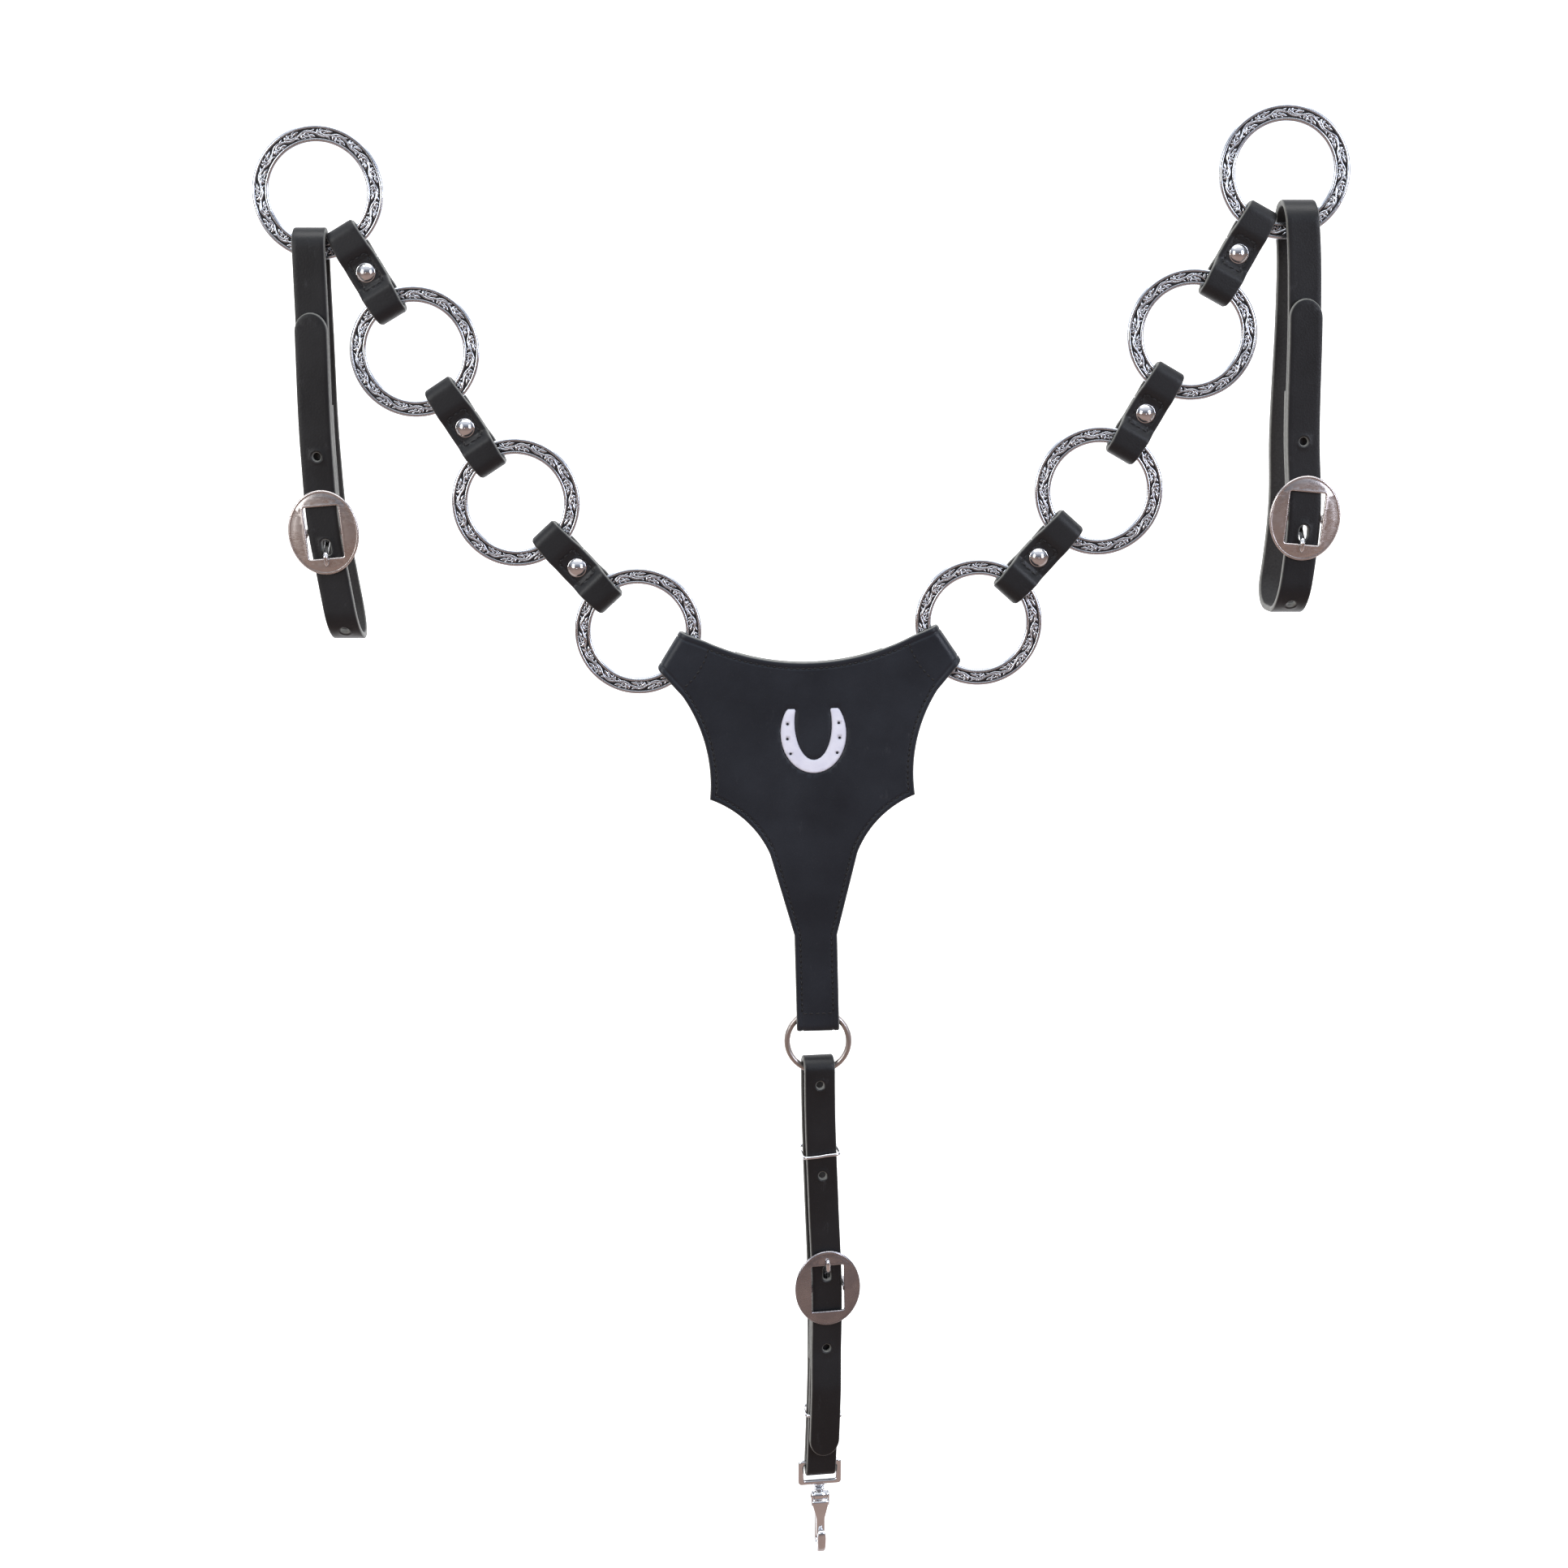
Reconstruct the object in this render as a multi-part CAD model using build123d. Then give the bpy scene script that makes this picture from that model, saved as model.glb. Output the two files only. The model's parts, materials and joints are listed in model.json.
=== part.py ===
from build123d import *
import os
from math import cos, hypot, radians, sin, sqrt

# Western ring breast collar, hanging as it does on two hooks.
# Millimetres. X runs to the right as seen from the front, Z up, and the front faces -Y.
# The origin is on the flat back of the shield, where it rests on the horse's chest,
# and the rings lie in the plane Y = 0.

# ---- driving dimensions ----
RING_OD = 75.0            # engraved ring, nominal 3 inch
RING_BAND = 9.6           # width of its flat band
RING_THICK = 4.7
RIM_WIDTH = 1.5           # plain rim each side of the engraved channel
CHANNEL_DEPTH = 0.45
LOOP_SIZE = 41.4          # plain wire ring under the shield, outside diameter
LOOP_WIRE = 3.8
PANEL = 3.2               # leather of the shield, each of its two layers
STRAP_WIDTH = 19.0        # 3/4 inch straps
STRAP_THICK = 3.8
LINK_THICK = 3.5
LINK_PITCH = 103.5        # from one ring's centre to the next
LINK_END_WIDTH = 17.4
LINK_MID_WIDTH = 20.4
PLY_GAP = 0.3             # between leather plies of one strap
HOLE_DIAMETER = 4.6
YOKE_TILT = 1.5           # the shield hangs a little off level, degrees
YOKE_SHIFT = 0.8          # and this far to one side
LOWER_YAW = 9.0           # the lower strap hangs turned a little on its ring, degrees
NECK_WIDTH = 26.0
NECK_END = -188.5
BUCKLE_WIDTH = 41.0
BUCKLE_HEIGHT = 49.0
BUCKLE_PLATE = 2.4
WINDOW_WIDTH = 20.4
WINDOW_HEIGHT = 30.0
BAR_RADIUS = 1.8
KEEPER_WIRE = 2.0

RING_R = RING_OD / 2
RING_CORNER = 1.5
RING_HOLE_R = RING_R - RING_BAND
BAND_MID_R = RING_R - RING_BAND / 2
LOOP_MID_R = (LOOP_SIZE - LOOP_WIRE) / 2
WING_ANGLE = 33.0
WING_WIDTH = 26.0
WING_FOLD = 20.8          # from the first ring's centre to the end of the wing's fold
FIRST_RING = (100.3, 60.1)
LINK_DIRECTIONS = {"left": (132.9, 123.0, 120.4), "right": (48.3, 60.2, 61.5)}

os.makedirs("parts", exist_ok=True)


def save(shape, node):
    shape.label = node
    export_step(shape, f"parts/{node}.step")


# ---- helpers ----
def offset_corners(points, shift):
    """The corners of a path of straight runs, moved sideways by shift."""
    normals = []
    for (x0, y0), (x1, y1) in zip(points, points[1:]):
        length = hypot(x1 - x0, y1 - y0)
        normals.append(((y0 - y1) / length, (x1 - x0) / length))
    moved = [(points[0][0] + shift * normals[0][0], points[0][1] + shift * normals[0][1])]
    for (x, y), (ax, ay), (bx, by) in zip(points[1:], normals, normals[1:]):
        scale = shift / (1 + ax * bx + ay * by)
        moved.append((x + scale * (ax + bx), y + scale * (ay + by)))
    x, y = points[-1]
    moved.append((x + shift * normals[-1][0], y + shift * normals[-1][1]))
    return moved


def turn_signs(points):
    signs = []
    for (x0, y0), (x1, y1), (x2, y2) in zip(points, points[1:], points[2:]):
        cross = (x1 - x0) * (y2 - y1) - (y1 - y0) * (x2 - x1)
        signs.append(1 if cross > 0 else -1)
    return signs


def band_profile(points, radii, thickness):
    """A strap seen edge-on: the path of its middle, with a bend radius at each inner corner."""
    sides = []
    for shift in (thickness / 2, -thickness / 2):
        bends = [r - shift * sign for r, sign in zip(radii, turn_signs(points))]
        sides.append(FilletPolyline(*offset_corners(points, shift), radius=bends))
    left, right = sides
    ends = [Line(left @ 0, right @ 0), Line(left @ 1, right @ 1)]
    return make_face(left.edges() + right.edges() + [e.edge() for e in ends])


def from_yoke(x, z):
    """A point of the shield's own upright frame, in the part's frame."""
    angle = radians(YOKE_TILT)
    high = z - NECK_END
    return (x * cos(angle) - high * sin(angle) + YOKE_SHIFT, x * sin(angle) + high * cos(angle) + NECK_END)


def tilt_yoke(shape):
    return Pos(YOKE_SHIFT, 0, NECK_END) * Rot(0, -YOKE_TILT, 0) * Pos(0, 0, -NECK_END) * shape


def ring_centres(side):
    sign = -1 if side == "left" else 1
    centres = [from_yoke(sign * FIRST_RING[0], FIRST_RING[1])]
    for angle in LINK_DIRECTIONS[side]:
        x, z = centres[-1]
        centres.append((x + LINK_PITCH * cos(radians(angle)), z + LINK_PITCH * sin(radians(angle))))
    return centres


def at(x, z):
    return Pos(x, 0, z)


# ---- rings ----
def engraved_ring():
    """Flat band ring with rounded edges and a sunk channel on both faces for the scrollwork."""
    half = RING_THICK / 2
    section = Pos(BAND_MID_R, 0) * RectangleRounded(RING_BAND, RING_THICK, RING_CORNER)
    channel_width = RING_BAND - 2 * RIM_WIDTH
    for face in (half, -half):
        section -= Pos(BAND_MID_R, face) * Rectangle(channel_width, 2 * CHANNEL_DEPTH)
    # drawn with Y as its thickness, so it turns about Y
    return revolve(section, Axis.Y)


def make_rings():
    ring = engraved_ring()
    for side in ("left", "right"):
        for number, (x, z) in enumerate(ring_centres(side), 1):
            save(at(x, z) * ring, f"{side}_ring_{number}")


# ---- the shield ----
def yoke_outline():
    """Front outline of the shield with its two wings and neck, to the ends of their folds."""
    along = radians(WING_ANGLE)
    fold_x = FIRST_RING[0] - WING_FOLD * cos(along)
    fold_z = FIRST_RING[1] - WING_FOLD * sin(along)
    half = WING_WIDTH / 2
    wing_top = (fold_x - half * sin(along), fold_z + half * cos(along))
    wing_low = (fold_x + half * sin(along), fold_z - half * cos(along))
    collar_end = (61.0, 53.8)
    side_start = (75.5, 21.0)
    side_middle = (62.8, -9.5)
    cusp = (61.3, -41.9)
    waist_middle = (41.6, -54.2)
    waist_end = (26.3, -76.5)
    neck_top = (NECK_WIDTH / 2, -127.0)
    neck_low = (NECK_WIDTH / 2, NECK_END)
    half_edges = [
        Line(collar_end, wing_top),
        Line(wing_top, wing_low),
        Line(wing_low, side_start),
        ThreePointArc(side_start, side_middle, cusp),
        ThreePointArc(cusp, waist_middle, waist_end),
        Line(waist_end, neck_top),
        Line(neck_top, neck_low),
    ]
    edges = [edge.edge() for edge in half_edges]
    mirrored = [mirror(edge, about=Plane.YZ).edge() for edge in edges]
    collar = ThreePointArc((-collar_end[0], collar_end[1]), (0, 39.6), collar_end)
    foot = Line((-neck_low[0], NECK_END), neck_low)
    return make_face(edges + mirrored + [collar.edge(), foot.edge()])


FOLD_MID = PANEL / 2 + PANEL          # depth of a fold's two plies either side of the rings
TAB_MID = -PANEL / 2 + 0.2            # where a turned-back tab lies against the shield's face
FOLD_RADII = [3.4, 3.4, 6, 6]         # the fold's two bends, then the two that bring its tab inwards
FOLD_SLOPE = 7.5                      # how long the turned-back ply takes to come in to the tab
WING_SPAN = 58.0                      # from the first ring's centre to where the wing joins the face
TAB_START, TAB_END = 47.0, 54.0       # of a wing's tab, from the first ring's centre
NECK_JOIN = -140.0                    # where the neck's fold joins the face
NECK_TAB_START, NECK_TAB_END = -163.0, -153.0
TAB_ROOM = 1.0                        # between a tab's end and the back layer


def wing_fold(sign):
    """A wing's leather, from the shield round the first ring and back to its stitched tab."""
    fold = WING_FOLD + PANEL / 2
    path = [(WING_SPAN, -FOLD_MID), (fold, -FOLD_MID), (fold, FOLD_MID), (TAB_START - FOLD_SLOPE, FOLD_MID),
            (TAB_START, TAB_MID), (TAB_END, TAB_MID)]
    profile = band_profile(path, FOLD_RADII, PANEL)
    angle = radians(WING_ANGLE)
    towards_shield = (-sign * cos(angle), 0, -sin(angle))
    across = Vector(*towards_shield).cross(Vector(0, 1, 0))
    plane = Plane(origin=(sign * FIRST_RING[0], 0, FIRST_RING[1]), x_dir=towards_shield, z_dir=across)
    return extrude(plane * profile, amount=WING_WIDTH, both=True)


def neck_fold():
    fold = NECK_END + PANEL / 2
    path = [(-FOLD_MID, NECK_JOIN), (-FOLD_MID, fold), (FOLD_MID, fold),
            (FOLD_MID, NECK_TAB_START - FOLD_SLOPE), (TAB_MID, NECK_TAB_START), (TAB_MID, NECK_TAB_END)]
    profile = band_profile(path, FOLD_RADII, PANEL)
    return extrude(Plane.YZ * profile, amount=NECK_WIDTH, both=True)


def wing_block(sign, reach, length):
    """A block over one wing, from beyond its ring to reach millimetres inside the ring's centre."""
    middle = reach - length / 2
    angle = radians(WING_ANGLE)
    x = sign * (FIRST_RING[0] - middle * cos(angle))
    z = FIRST_RING[1] - middle * sin(angle)
    return at(x, z) * Rot(0, -sign * WING_ANGLE, 0) * Box(length, 40, 60)


def lining_cut():
    """What the back layer leaves free for the turned-back tabs of the wings and neck."""
    height = 100.0
    cut = Pos(0, 0, NECK_TAB_END + TAB_ROOM / 2 - height / 2) * Box(80, 40, height)
    return cut + wing_block(-1, TAB_END + TAB_ROOM, 100) + wing_block(1, TAB_END + TAB_ROOM, 100)


INLAY_PLACE = (1.5, -1.0)
INLAY_DEPTH = 1.0
INLAY_PROUD = 0.5
INLAY_ROOM = 0.15
SHOE_OUTER = (19.5, 24.0)             # half width and half height of the horseshoe's outer oval
SHOE_INNER = (11.0, 22.0)
SHOE_TOP = 13.0                       # height of its two ends
WING_FLAT = 5.2                       # from a wing's fold to where its face runs straight


def horseshoe(grow=0.0):
    """Plain horseshoe, open at the top, that fills the middle of the shield."""
    (outer_x, outer_z), (inner_x, inner_z) = SHOE_OUTER, SHOE_INNER
    outer = Pos(0, -2) * Ellipse(outer_x + grow, outer_z + grow)
    inner = Pos(0, 4) * Ellipse(inner_x - grow, inner_z - grow)
    return outer - inner - Pos(0, SHOE_TOP + grow + 15) * Rectangle(60, 30)


def make_yoke():
    outline = yoke_outline()
    floor = Pos(0, INLAY_DEPTH - 2 * PANEL, 0)       # of the pocket that the inlay lies in
    everything = extrude(Plane.XZ * outline, amount=30, both=True)
    face = Pos(0, -PANEL, 0) * extrude(Plane.XZ * outline, amount=PANEL)
    for sign in (-1, 1):
        face -= wing_block(sign, WING_FOLD + WING_FLAT, 40)
    face -= Pos(0, 0, NECK_END) * Box(60, 40, 20)
    folds = neck_fold() + wing_fold(-1) + wing_fold(1)
    face += folds & everything
    pocket = Plane.XZ * Pos(*INLAY_PLACE) * horseshoe(INLAY_ROOM)
    face -= floor * extrude(pocket, amount=5)
    inlay = Plane.XZ * Pos(*INLAY_PLACE) * horseshoe()
    inlay = floor * extrude(inlay, amount=INLAY_DEPTH + INLAY_PROUD)
    lining = extrude(Plane.XZ * outline, amount=PANEL) - lining_cut()
    save(tilt_yoke(face), "yoke_face")
    save(tilt_yoke(lining), "yoke_lining")
    save(tilt_yoke(inlay), "yoke_inlay")


def make_bottom_ring():
    x, z = bottom_ring_centre()
    save(at(x, z) * Rot(90, 0, 0) * Torus(LOOP_MID_R, LOOP_WIRE / 2), "bottom_ring")


def bottom_ring_centre():
    """The neck's fold rests on the top of this ring at both edges of the neck."""
    x, z = from_yoke(0, NECK_END + PANEL)
    inner_r = LOOP_MID_R - LOOP_WIRE / 2
    return x, z - sqrt(inner_r ** 2 - (NECK_WIDTH / 2) ** 2) + 0.6


# ---- links between the rings ----
LINK_START = RING_HOLE_R - 6.1        # from the inner ring's centre to the link's outer face
LINK_END = LINK_PITCH - LINK_START
LINK_MIDDLE = LINK_PITCH / 2
LINK_CORNER = 2.5
WIDE_ROOM, TIGHT_ROOM = 4.5, 3.0      # half the room in each end loop; the inner one lets the link fold
BUTT_JOINT = 5.0                      # from the rivet to where the strip's ends meet behind
RIVET_HOLE_R, SHANK_R = 1.9, 1.7
DOME_R, DOME_HEIGHT = 5.5, 3.0
WASHER_R, WASHER_THICK = 4.5, 1.0
LINK_SURFACE = LINK_THICK + PLY_GAP / 2


def link_outline():
    """Front outline, a little wider at the middle than where it turns round the rings."""
    start, end, middle, corner = LINK_START, LINK_END, LINK_MIDDLE, LINK_CORNER
    low, high = LINK_END_WIDTH / 2, LINK_MID_WIDTH / 2
    upper = ThreePointArc((start + corner, low), (middle, high), (end - corner, low))
    lower = ThreePointArc((start + corner, -low), (middle, -high), (end - corner, -low))
    edges = [upper.edge(), lower.edge()]
    for tip, inwards in ((start, corner), (end, -corner)):
        corners = [(tip + inwards, low), (tip, low - corner), (tip, corner - low), (tip + inwards, -low)]
        edges += Polyline(*corners).edges()
    return make_face(edges)


def link_strap():
    """One strip of leather bent round both rings, its ends meeting at the back by the rivet.
    X runs from the inner ring to the outer one, Z across the link, and the front faces -Y."""
    half = LINK_THICK / 2
    start, end, middle = LINK_START + half, LINK_END - half, LINK_MIDDLE
    wide, tight = WIDE_ROOM + half, TIGHT_ROOM + half
    flat = half + PLY_GAP / 2
    spread, together = 13.2, 7.4       # where the plies part, each side of the rivet
    joint = middle + BUTT_JOINT
    path = [
        (joint - 0.25, flat), (middle - together, flat), (middle - spread, wide), (start, wide),
        (start, -wide), (middle - spread, -wide), (middle - together, -flat), (middle + together, -flat),
        (middle + spread, -tight), (end, -tight), (end, tight), (middle + spread, tight),
        (middle + together, flat), (joint + 0.25, flat),
    ]
    radii = [4, 4, wide - 0.1, wide - 0.1, 4, 4, 5, 5, tight - 0.1, tight - 0.1, 5, 4]
    band = extrude(Plane.XY * band_profile(path, radii, LINK_THICK), amount=30, both=True)
    outline = extrude(Plane.XZ * link_outline(), amount=30, both=True)
    hole = Pos(middle, 0, 0) * Rot(90, 0, 0) * Cylinder(RIVET_HOLE_R, 40)
    return (band & outline) - hole


def link_rivet():
    """Dome-headed rivet; its shank goes through both plies."""
    sphere_r = (DOME_R ** 2 + DOME_HEIGHT ** 2) / (2 * DOME_HEIGHT)
    dome = Pos(0, 0, LINK_SURFACE + DOME_HEIGHT - sphere_r) * Sphere(sphere_r)
    dome &= Pos(0, 0, LINK_SURFACE + DOME_HEIGHT / 2) * Cylinder(DOME_R, DOME_HEIGHT)
    shank = Pos(0, 0, -0.7) * Cylinder(SHANK_R, 2 * LINK_SURFACE + 1.6)
    return Rot(90, 0, 0) * (dome + shank)


def rivet_washer():
    washer = Cylinder(WASHER_R, WASHER_THICK) - Cylinder(SHANK_R + 0.05, 2 * WASHER_THICK)
    return Pos(0, LINK_SURFACE + WASHER_THICK / 2, 0) * Rot(90, 0, 0) * washer


def make_links():
    strap, rivet, washer = link_strap(), link_rivet(), rivet_washer()
    for side in ("left", "right"):
        centres = ring_centres(side)
        for number, angle in enumerate(LINK_DIRECTIONS[side], 1):
            place = at(*centres[number - 1]) * Rot(0, -angle, 0)
            centre = place * Pos(LINK_MIDDLE, 0, 0)
            save(place * strap, f"{side}_link_{number}")
            save(centre * rivet, f"{side}_rivet_{number}")
            save(centre * washer, f"{side}_rivet_{number}_washer")


# ---- adjustable straps ----
TIP_RISE = 11.0            # length of a strap's rounded end
LAYERS_TO_PLATE = 11.1     # from a buckle bar's centre to the back of its plate, through two plies
POST_WIDTH, POST_HEIGHT = 2.6, 4.4
TONGUE_WIRE = 2.8
EYE_R, EYE_LENGTH = 3.1, 3.4
BUCKLE_HOLE = 8.9          # from the bar to the middle of the hole that the tongue goes through
SLOT_LENGTH = 9.0          # of that hole, drawn long by the tongue
BAR_SLOT = (4.4, 15.0)     # width and length of the slot for the tongue where the strap turns round the bar


class StrapLine:
    """Where a strap's middle runs from side to side, as (Z, X) points from its top down."""

    def __init__(self, points, lean=0.0):
        self.points = points
        self.lean = lean           # sideways shift of its back half, per mm towards the back

    def strip(self, width):
        sides = []
        for sign in (-1, 1):
            sides.append(Spline(*[(x + sign * width / 2, z) for z, x in self.points]))
        left, right = sides
        ends = [Line(left @ 0, right @ 0), Line(left @ 1, right @ 1)]
        face = make_face([left.edge(), right.edge()] + [end.edge() for end in ends])
        depth = 60.0
        front = extrude(Plane.XZ * face, amount=depth)
        return front + extrude(Plane.XZ * face, amount=depth, dir=(self.lean, 1, 0))

    def x_at(self, z):
        line = Spline(*[(x, height) for height, x in self.points])
        cut = line.edge().intersect(Edge.make_line((-500, z), (500, z)))
        return cut.vertices()[0].X


def strap_body(path, radii, line):
    profile = band_profile(path, radii, STRAP_THICK)
    band = extrude(Plane.YZ * profile, amount=500, both=True)
    return band & line.strip(STRAP_WIDTH)


def across_hole(x, z, y_from, y_to, diameter=HOLE_DIAMETER, length=None):
    """A round hole through the plies between two depths, or a slot when length is given."""
    shape = Circle(diameter / 2) if length is None else SlotOverall(length, diameter, rotation=90)
    depth = y_to - y_from
    return Pos(0, y_to, 0) * extrude(Plane.XZ * Pos(x, z) * shape, amount=depth)


def rounded_tip(x, z_tip, direction, y_from, y_to):
    """What is cut away to round the free end of a strap; direction is +1 for an end that points up."""
    base = z_tip - direction * TIP_RISE
    block = Pos(x, base + direction * 20) * Rectangle(40, 40)
    keep = Pos(x, base) * Ellipse(STRAP_WIDTH / 2 + 0.4, TIP_RISE)
    depth = y_to - y_from
    return Pos(0, y_to, 0) * extrude(Plane.XZ * (block - keep), amount=depth)


def buckle_frame():
    """Cart buckle about its bar: X along the bar, Z up the strap, and an oval plate in front."""
    plate = extrude(Plane.XZ * Ellipse(BUCKLE_WIDTH / 2, BUCKLE_HEIGHT / 2), amount=BUCKLE_PLATE)
    plate = chamfer(plate.faces().sort_by(Axis.Y)[0].edges(), 0.7)
    plate -= Box(WINDOW_WIDTH, 20, WINDOW_HEIGHT)
    frame = Pos(0, -LAYERS_TO_PLATE, 0) * plate
    front = -LAYERS_TO_PLATE - BUCKLE_PLATE
    depth = BAR_RADIUS - front
    for sign in (-1, 1):
        post_x = sign * (WINDOW_WIDTH / 2 + 1.0)
        frame += Pos(post_x, front + depth / 2, 0) * Box(POST_WIDTH, depth, POST_HEIGHT)
    return frame + Rot(0, 90, 0) * Cylinder(BAR_RADIUS, WINDOW_WIDTH + 3)


def buckle_tongue(up):
    """Tongue on the bar, out through the strap's hole and over the edge of the window.
    up is +1 when it points up the part and -1 when it points down."""
    front = -(LAYERS_TO_PLATE + BUCKLE_PLATE + TONGUE_WIRE / 2 + 0.2)
    points = [(-2.0, up * 1.0), (-4.6, up * 7.2), (front, up * 13.0), (front, up * 19.0)]
    wire = Plane.YZ * FilletPolyline(*points, radius=[2.0, 2.0])
    start = Plane(origin=wire @ 0, z_dir=wire % 0)
    arm = sweep(start * Circle(TONGUE_WIRE / 2), path=wire)
    arm += Pos(*(wire @ 1)) * Sphere(TONGUE_WIRE / 2)
    eye = Rot(0, 90, 0) * Cylinder(EYE_R, EYE_LENGTH)
    return arm + eye - Rot(0, 90, 0) * Cylinder(BAR_RADIUS + 0.05, 8)


LEFT_LINE = StrapLine([(296, -290.4), (242, -289.8), (160, -289.0), (117, -286.4), (90, -282.2),
                       (48, -275.6)], -0.08)
RIGHT_LINE = StrapLine([(308, 272.2), (276, 275.3), (245, 276.8), (170, 278.4), (126, 280.8),
                        (97, 278.8), (64, 274.6)], -0.15)
# heights of the loop's bottom, the strap's rounded tip, the end of its sewn turn and its open holes
TUGS = {
    "left": {"line": LEFT_LINE, "buckle": (-286.4, 117.4), "bottom": 52.6, "tip": 242.4,
             "turn_end": 189.8, "holes": (160.8, 58.6), "lean": -5.0},
    "right": {"line": RIGHT_LINE, "buckle": (280.6, 125.9), "bottom": 68.6, "tip": 250.4,
              "turn_end": 198.0, "holes": (169.7, 74.6), "lean": 5.0},
}


def fold_room(centre, strap_x):
    """Height of the middle of the stretch of ring under a strap's fold, and the radius it needs."""
    x, z = centre
    low_reach, high_reach = RING_R, RING_R
    for edge in (strap_x - STRAP_WIDTH / 2 - x, strap_x + STRAP_WIDTH / 2 - x):
        high_reach = min(high_reach, sqrt(RING_HOLE_R ** 2 - edge ** 2))
    middle = z - (low_reach + high_reach) / 2
    return middle, hypot((low_reach - high_reach) / 2, RING_THICK / 2) + 0.45


CHAPE_R = 4.8              # bend of the strap round a tug buckle's bar
LOOP_BACK = 25.0           # depth of the tug loop's back ply
LOOP_R = 17.0


def tug_levels(side):
    tug = TUGS[side]
    centre = ring_centres(side)[3]
    top_z, room = fold_room(centre, tug["line"].x_at(centre[1] - BAND_MID_R))
    bend = room + STRAP_THICK / 2
    step = STRAP_THICK + PLY_GAP
    return {"top_z": top_z, "bend": bend, "main": -bend, "billet": -bend - step, "turn": -bend + step,
            "bar": -bend + CHAPE_R}


def make_tug(side):
    """Tug strap: round its buckle's bar, up and over the last ring, down behind,
    and up the front through the buckle to its rounded end."""
    tug, level = TUGS[side], tug_levels(side)
    bar_x, bar_z = tug["buckle"]
    bar_y, top, bend = level["bar"], level["top_z"], level["bend"]
    turn_y = bar_y + CHAPE_R
    back = LOOP_BACK
    low = tug["bottom"] + STRAP_THICK / 2
    path = [
        (level["turn"], tug["turn_end"]), (level["turn"], bar_z + 16), (turn_y, bar_z + 7),
        (turn_y, bar_z - CHAPE_R), (level["main"], bar_z - CHAPE_R), (level["main"], top + bend),
        (bend, top + bend), (bend, top - 20), (back, low + 55), (back, low), (level["billet"], low),
        (level["billet"], tug["tip"]),
    ]
    radii = [8, 6, CHAPE_R - 0.1, CHAPE_R - 0.1, bend - 0.1, bend - 0.1, 60, 60, LOOP_R, LOOP_R]
    strap = strap_body(path, radii, tug["line"])
    front = level["billet"] - STRAP_THICK
    between = level["main"] - STRAP_THICK / 2 - PLY_GAP / 2
    tip_x = tug["line"].x_at(tug["tip"] - 5)
    strap -= rounded_tip(tip_x, tug["tip"], 1, front, between)
    for z in tug["holes"]:
        strap -= across_hole(tug["line"].x_at(z), z, front, between)
    strap -= across_hole(bar_x, bar_z - BUCKLE_HOLE, front, between, HOLE_DIAMETER, SLOT_LENGTH)
    width, length = BAR_SLOT
    strap -= Pos(bar_x, between + 9, bar_z - 2) * Box(width, 18, length)
    save(strap, f"{side}_tug_strap")
    place = Pos(bar_x, bar_y, bar_z)
    save(place * Rot(0, tug["lean"], 0) * buckle_frame(), f"{side}_tug_buckle")
    save(place * Rot(0, tug["lean"], 0) * buckle_tongue(-1), f"{side}_tug_tongue")


# ---- lower strap ----
LOWER_LINE = StrapLine([(-196, 0.6), (-240, 1.1), (-300, 3.4), (-353, 5.6), (-420, 4.9), (-492, 2.7)])
LOWER_BUCKLE = (5.6, -352.9)
LOWER_TIP = -465.4
LOWER_FOLD = -484.0
LOWER_TURN_END = -404.2
LOWER_HOLES = (-221.2, -279.6, -393.7)
LOWER_CHAPE_R = 4.2
LOWER_LEAN = -1.0
LOWER_FOLD_ROOM = 0.9      # round the wire in the strap's fold, so that the turned strap can swing
SNAP_PIVOT = (3.0, 2.1, -475.8)
# front and back are the inner faces of a keeper's wire
KEEPERS = {"upper_keeper": {"z": -266.4, "front": -9.2, "back": 11.4, "tilt": -5.0},
           "lower_keeper": {"z": -441.0, "front": -4.8, "back": 8.7, "tilt": 4.0}}


def turn_lower(shape):
    """Turns a piece of the lower strap about the upright line through its fold on the ring."""
    x = LOWER_LINE.x_at(lower_levels()["top_z"])
    return Pos(x, 0, 0) * Rot(0, 0, LOWER_YAW) * Pos(-x, 0, 0) * shape


def lower_levels():
    _, z = bottom_ring_centre()
    edge = STRAP_WIDTH / 2
    high = sqrt(LOOP_MID_R ** 2 - edge ** 2)
    middle = z - (high + LOOP_MID_R) / 2
    room = hypot((LOOP_MID_R - high) / 2 + LOOP_WIRE / 2, LOOP_WIRE / 2) + LOWER_FOLD_ROOM
    bend = room + STRAP_THICK / 2
    main = -bend + STRAP_THICK + PLY_GAP
    return {"top_z": middle, "bend": bend, "billet": -bend, "main": main, "bar": main + LOWER_CHAPE_R,
            "turn": main + STRAP_THICK + PLY_GAP, "back": main + 2 * (STRAP_THICK + PLY_GAP)}


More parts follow.
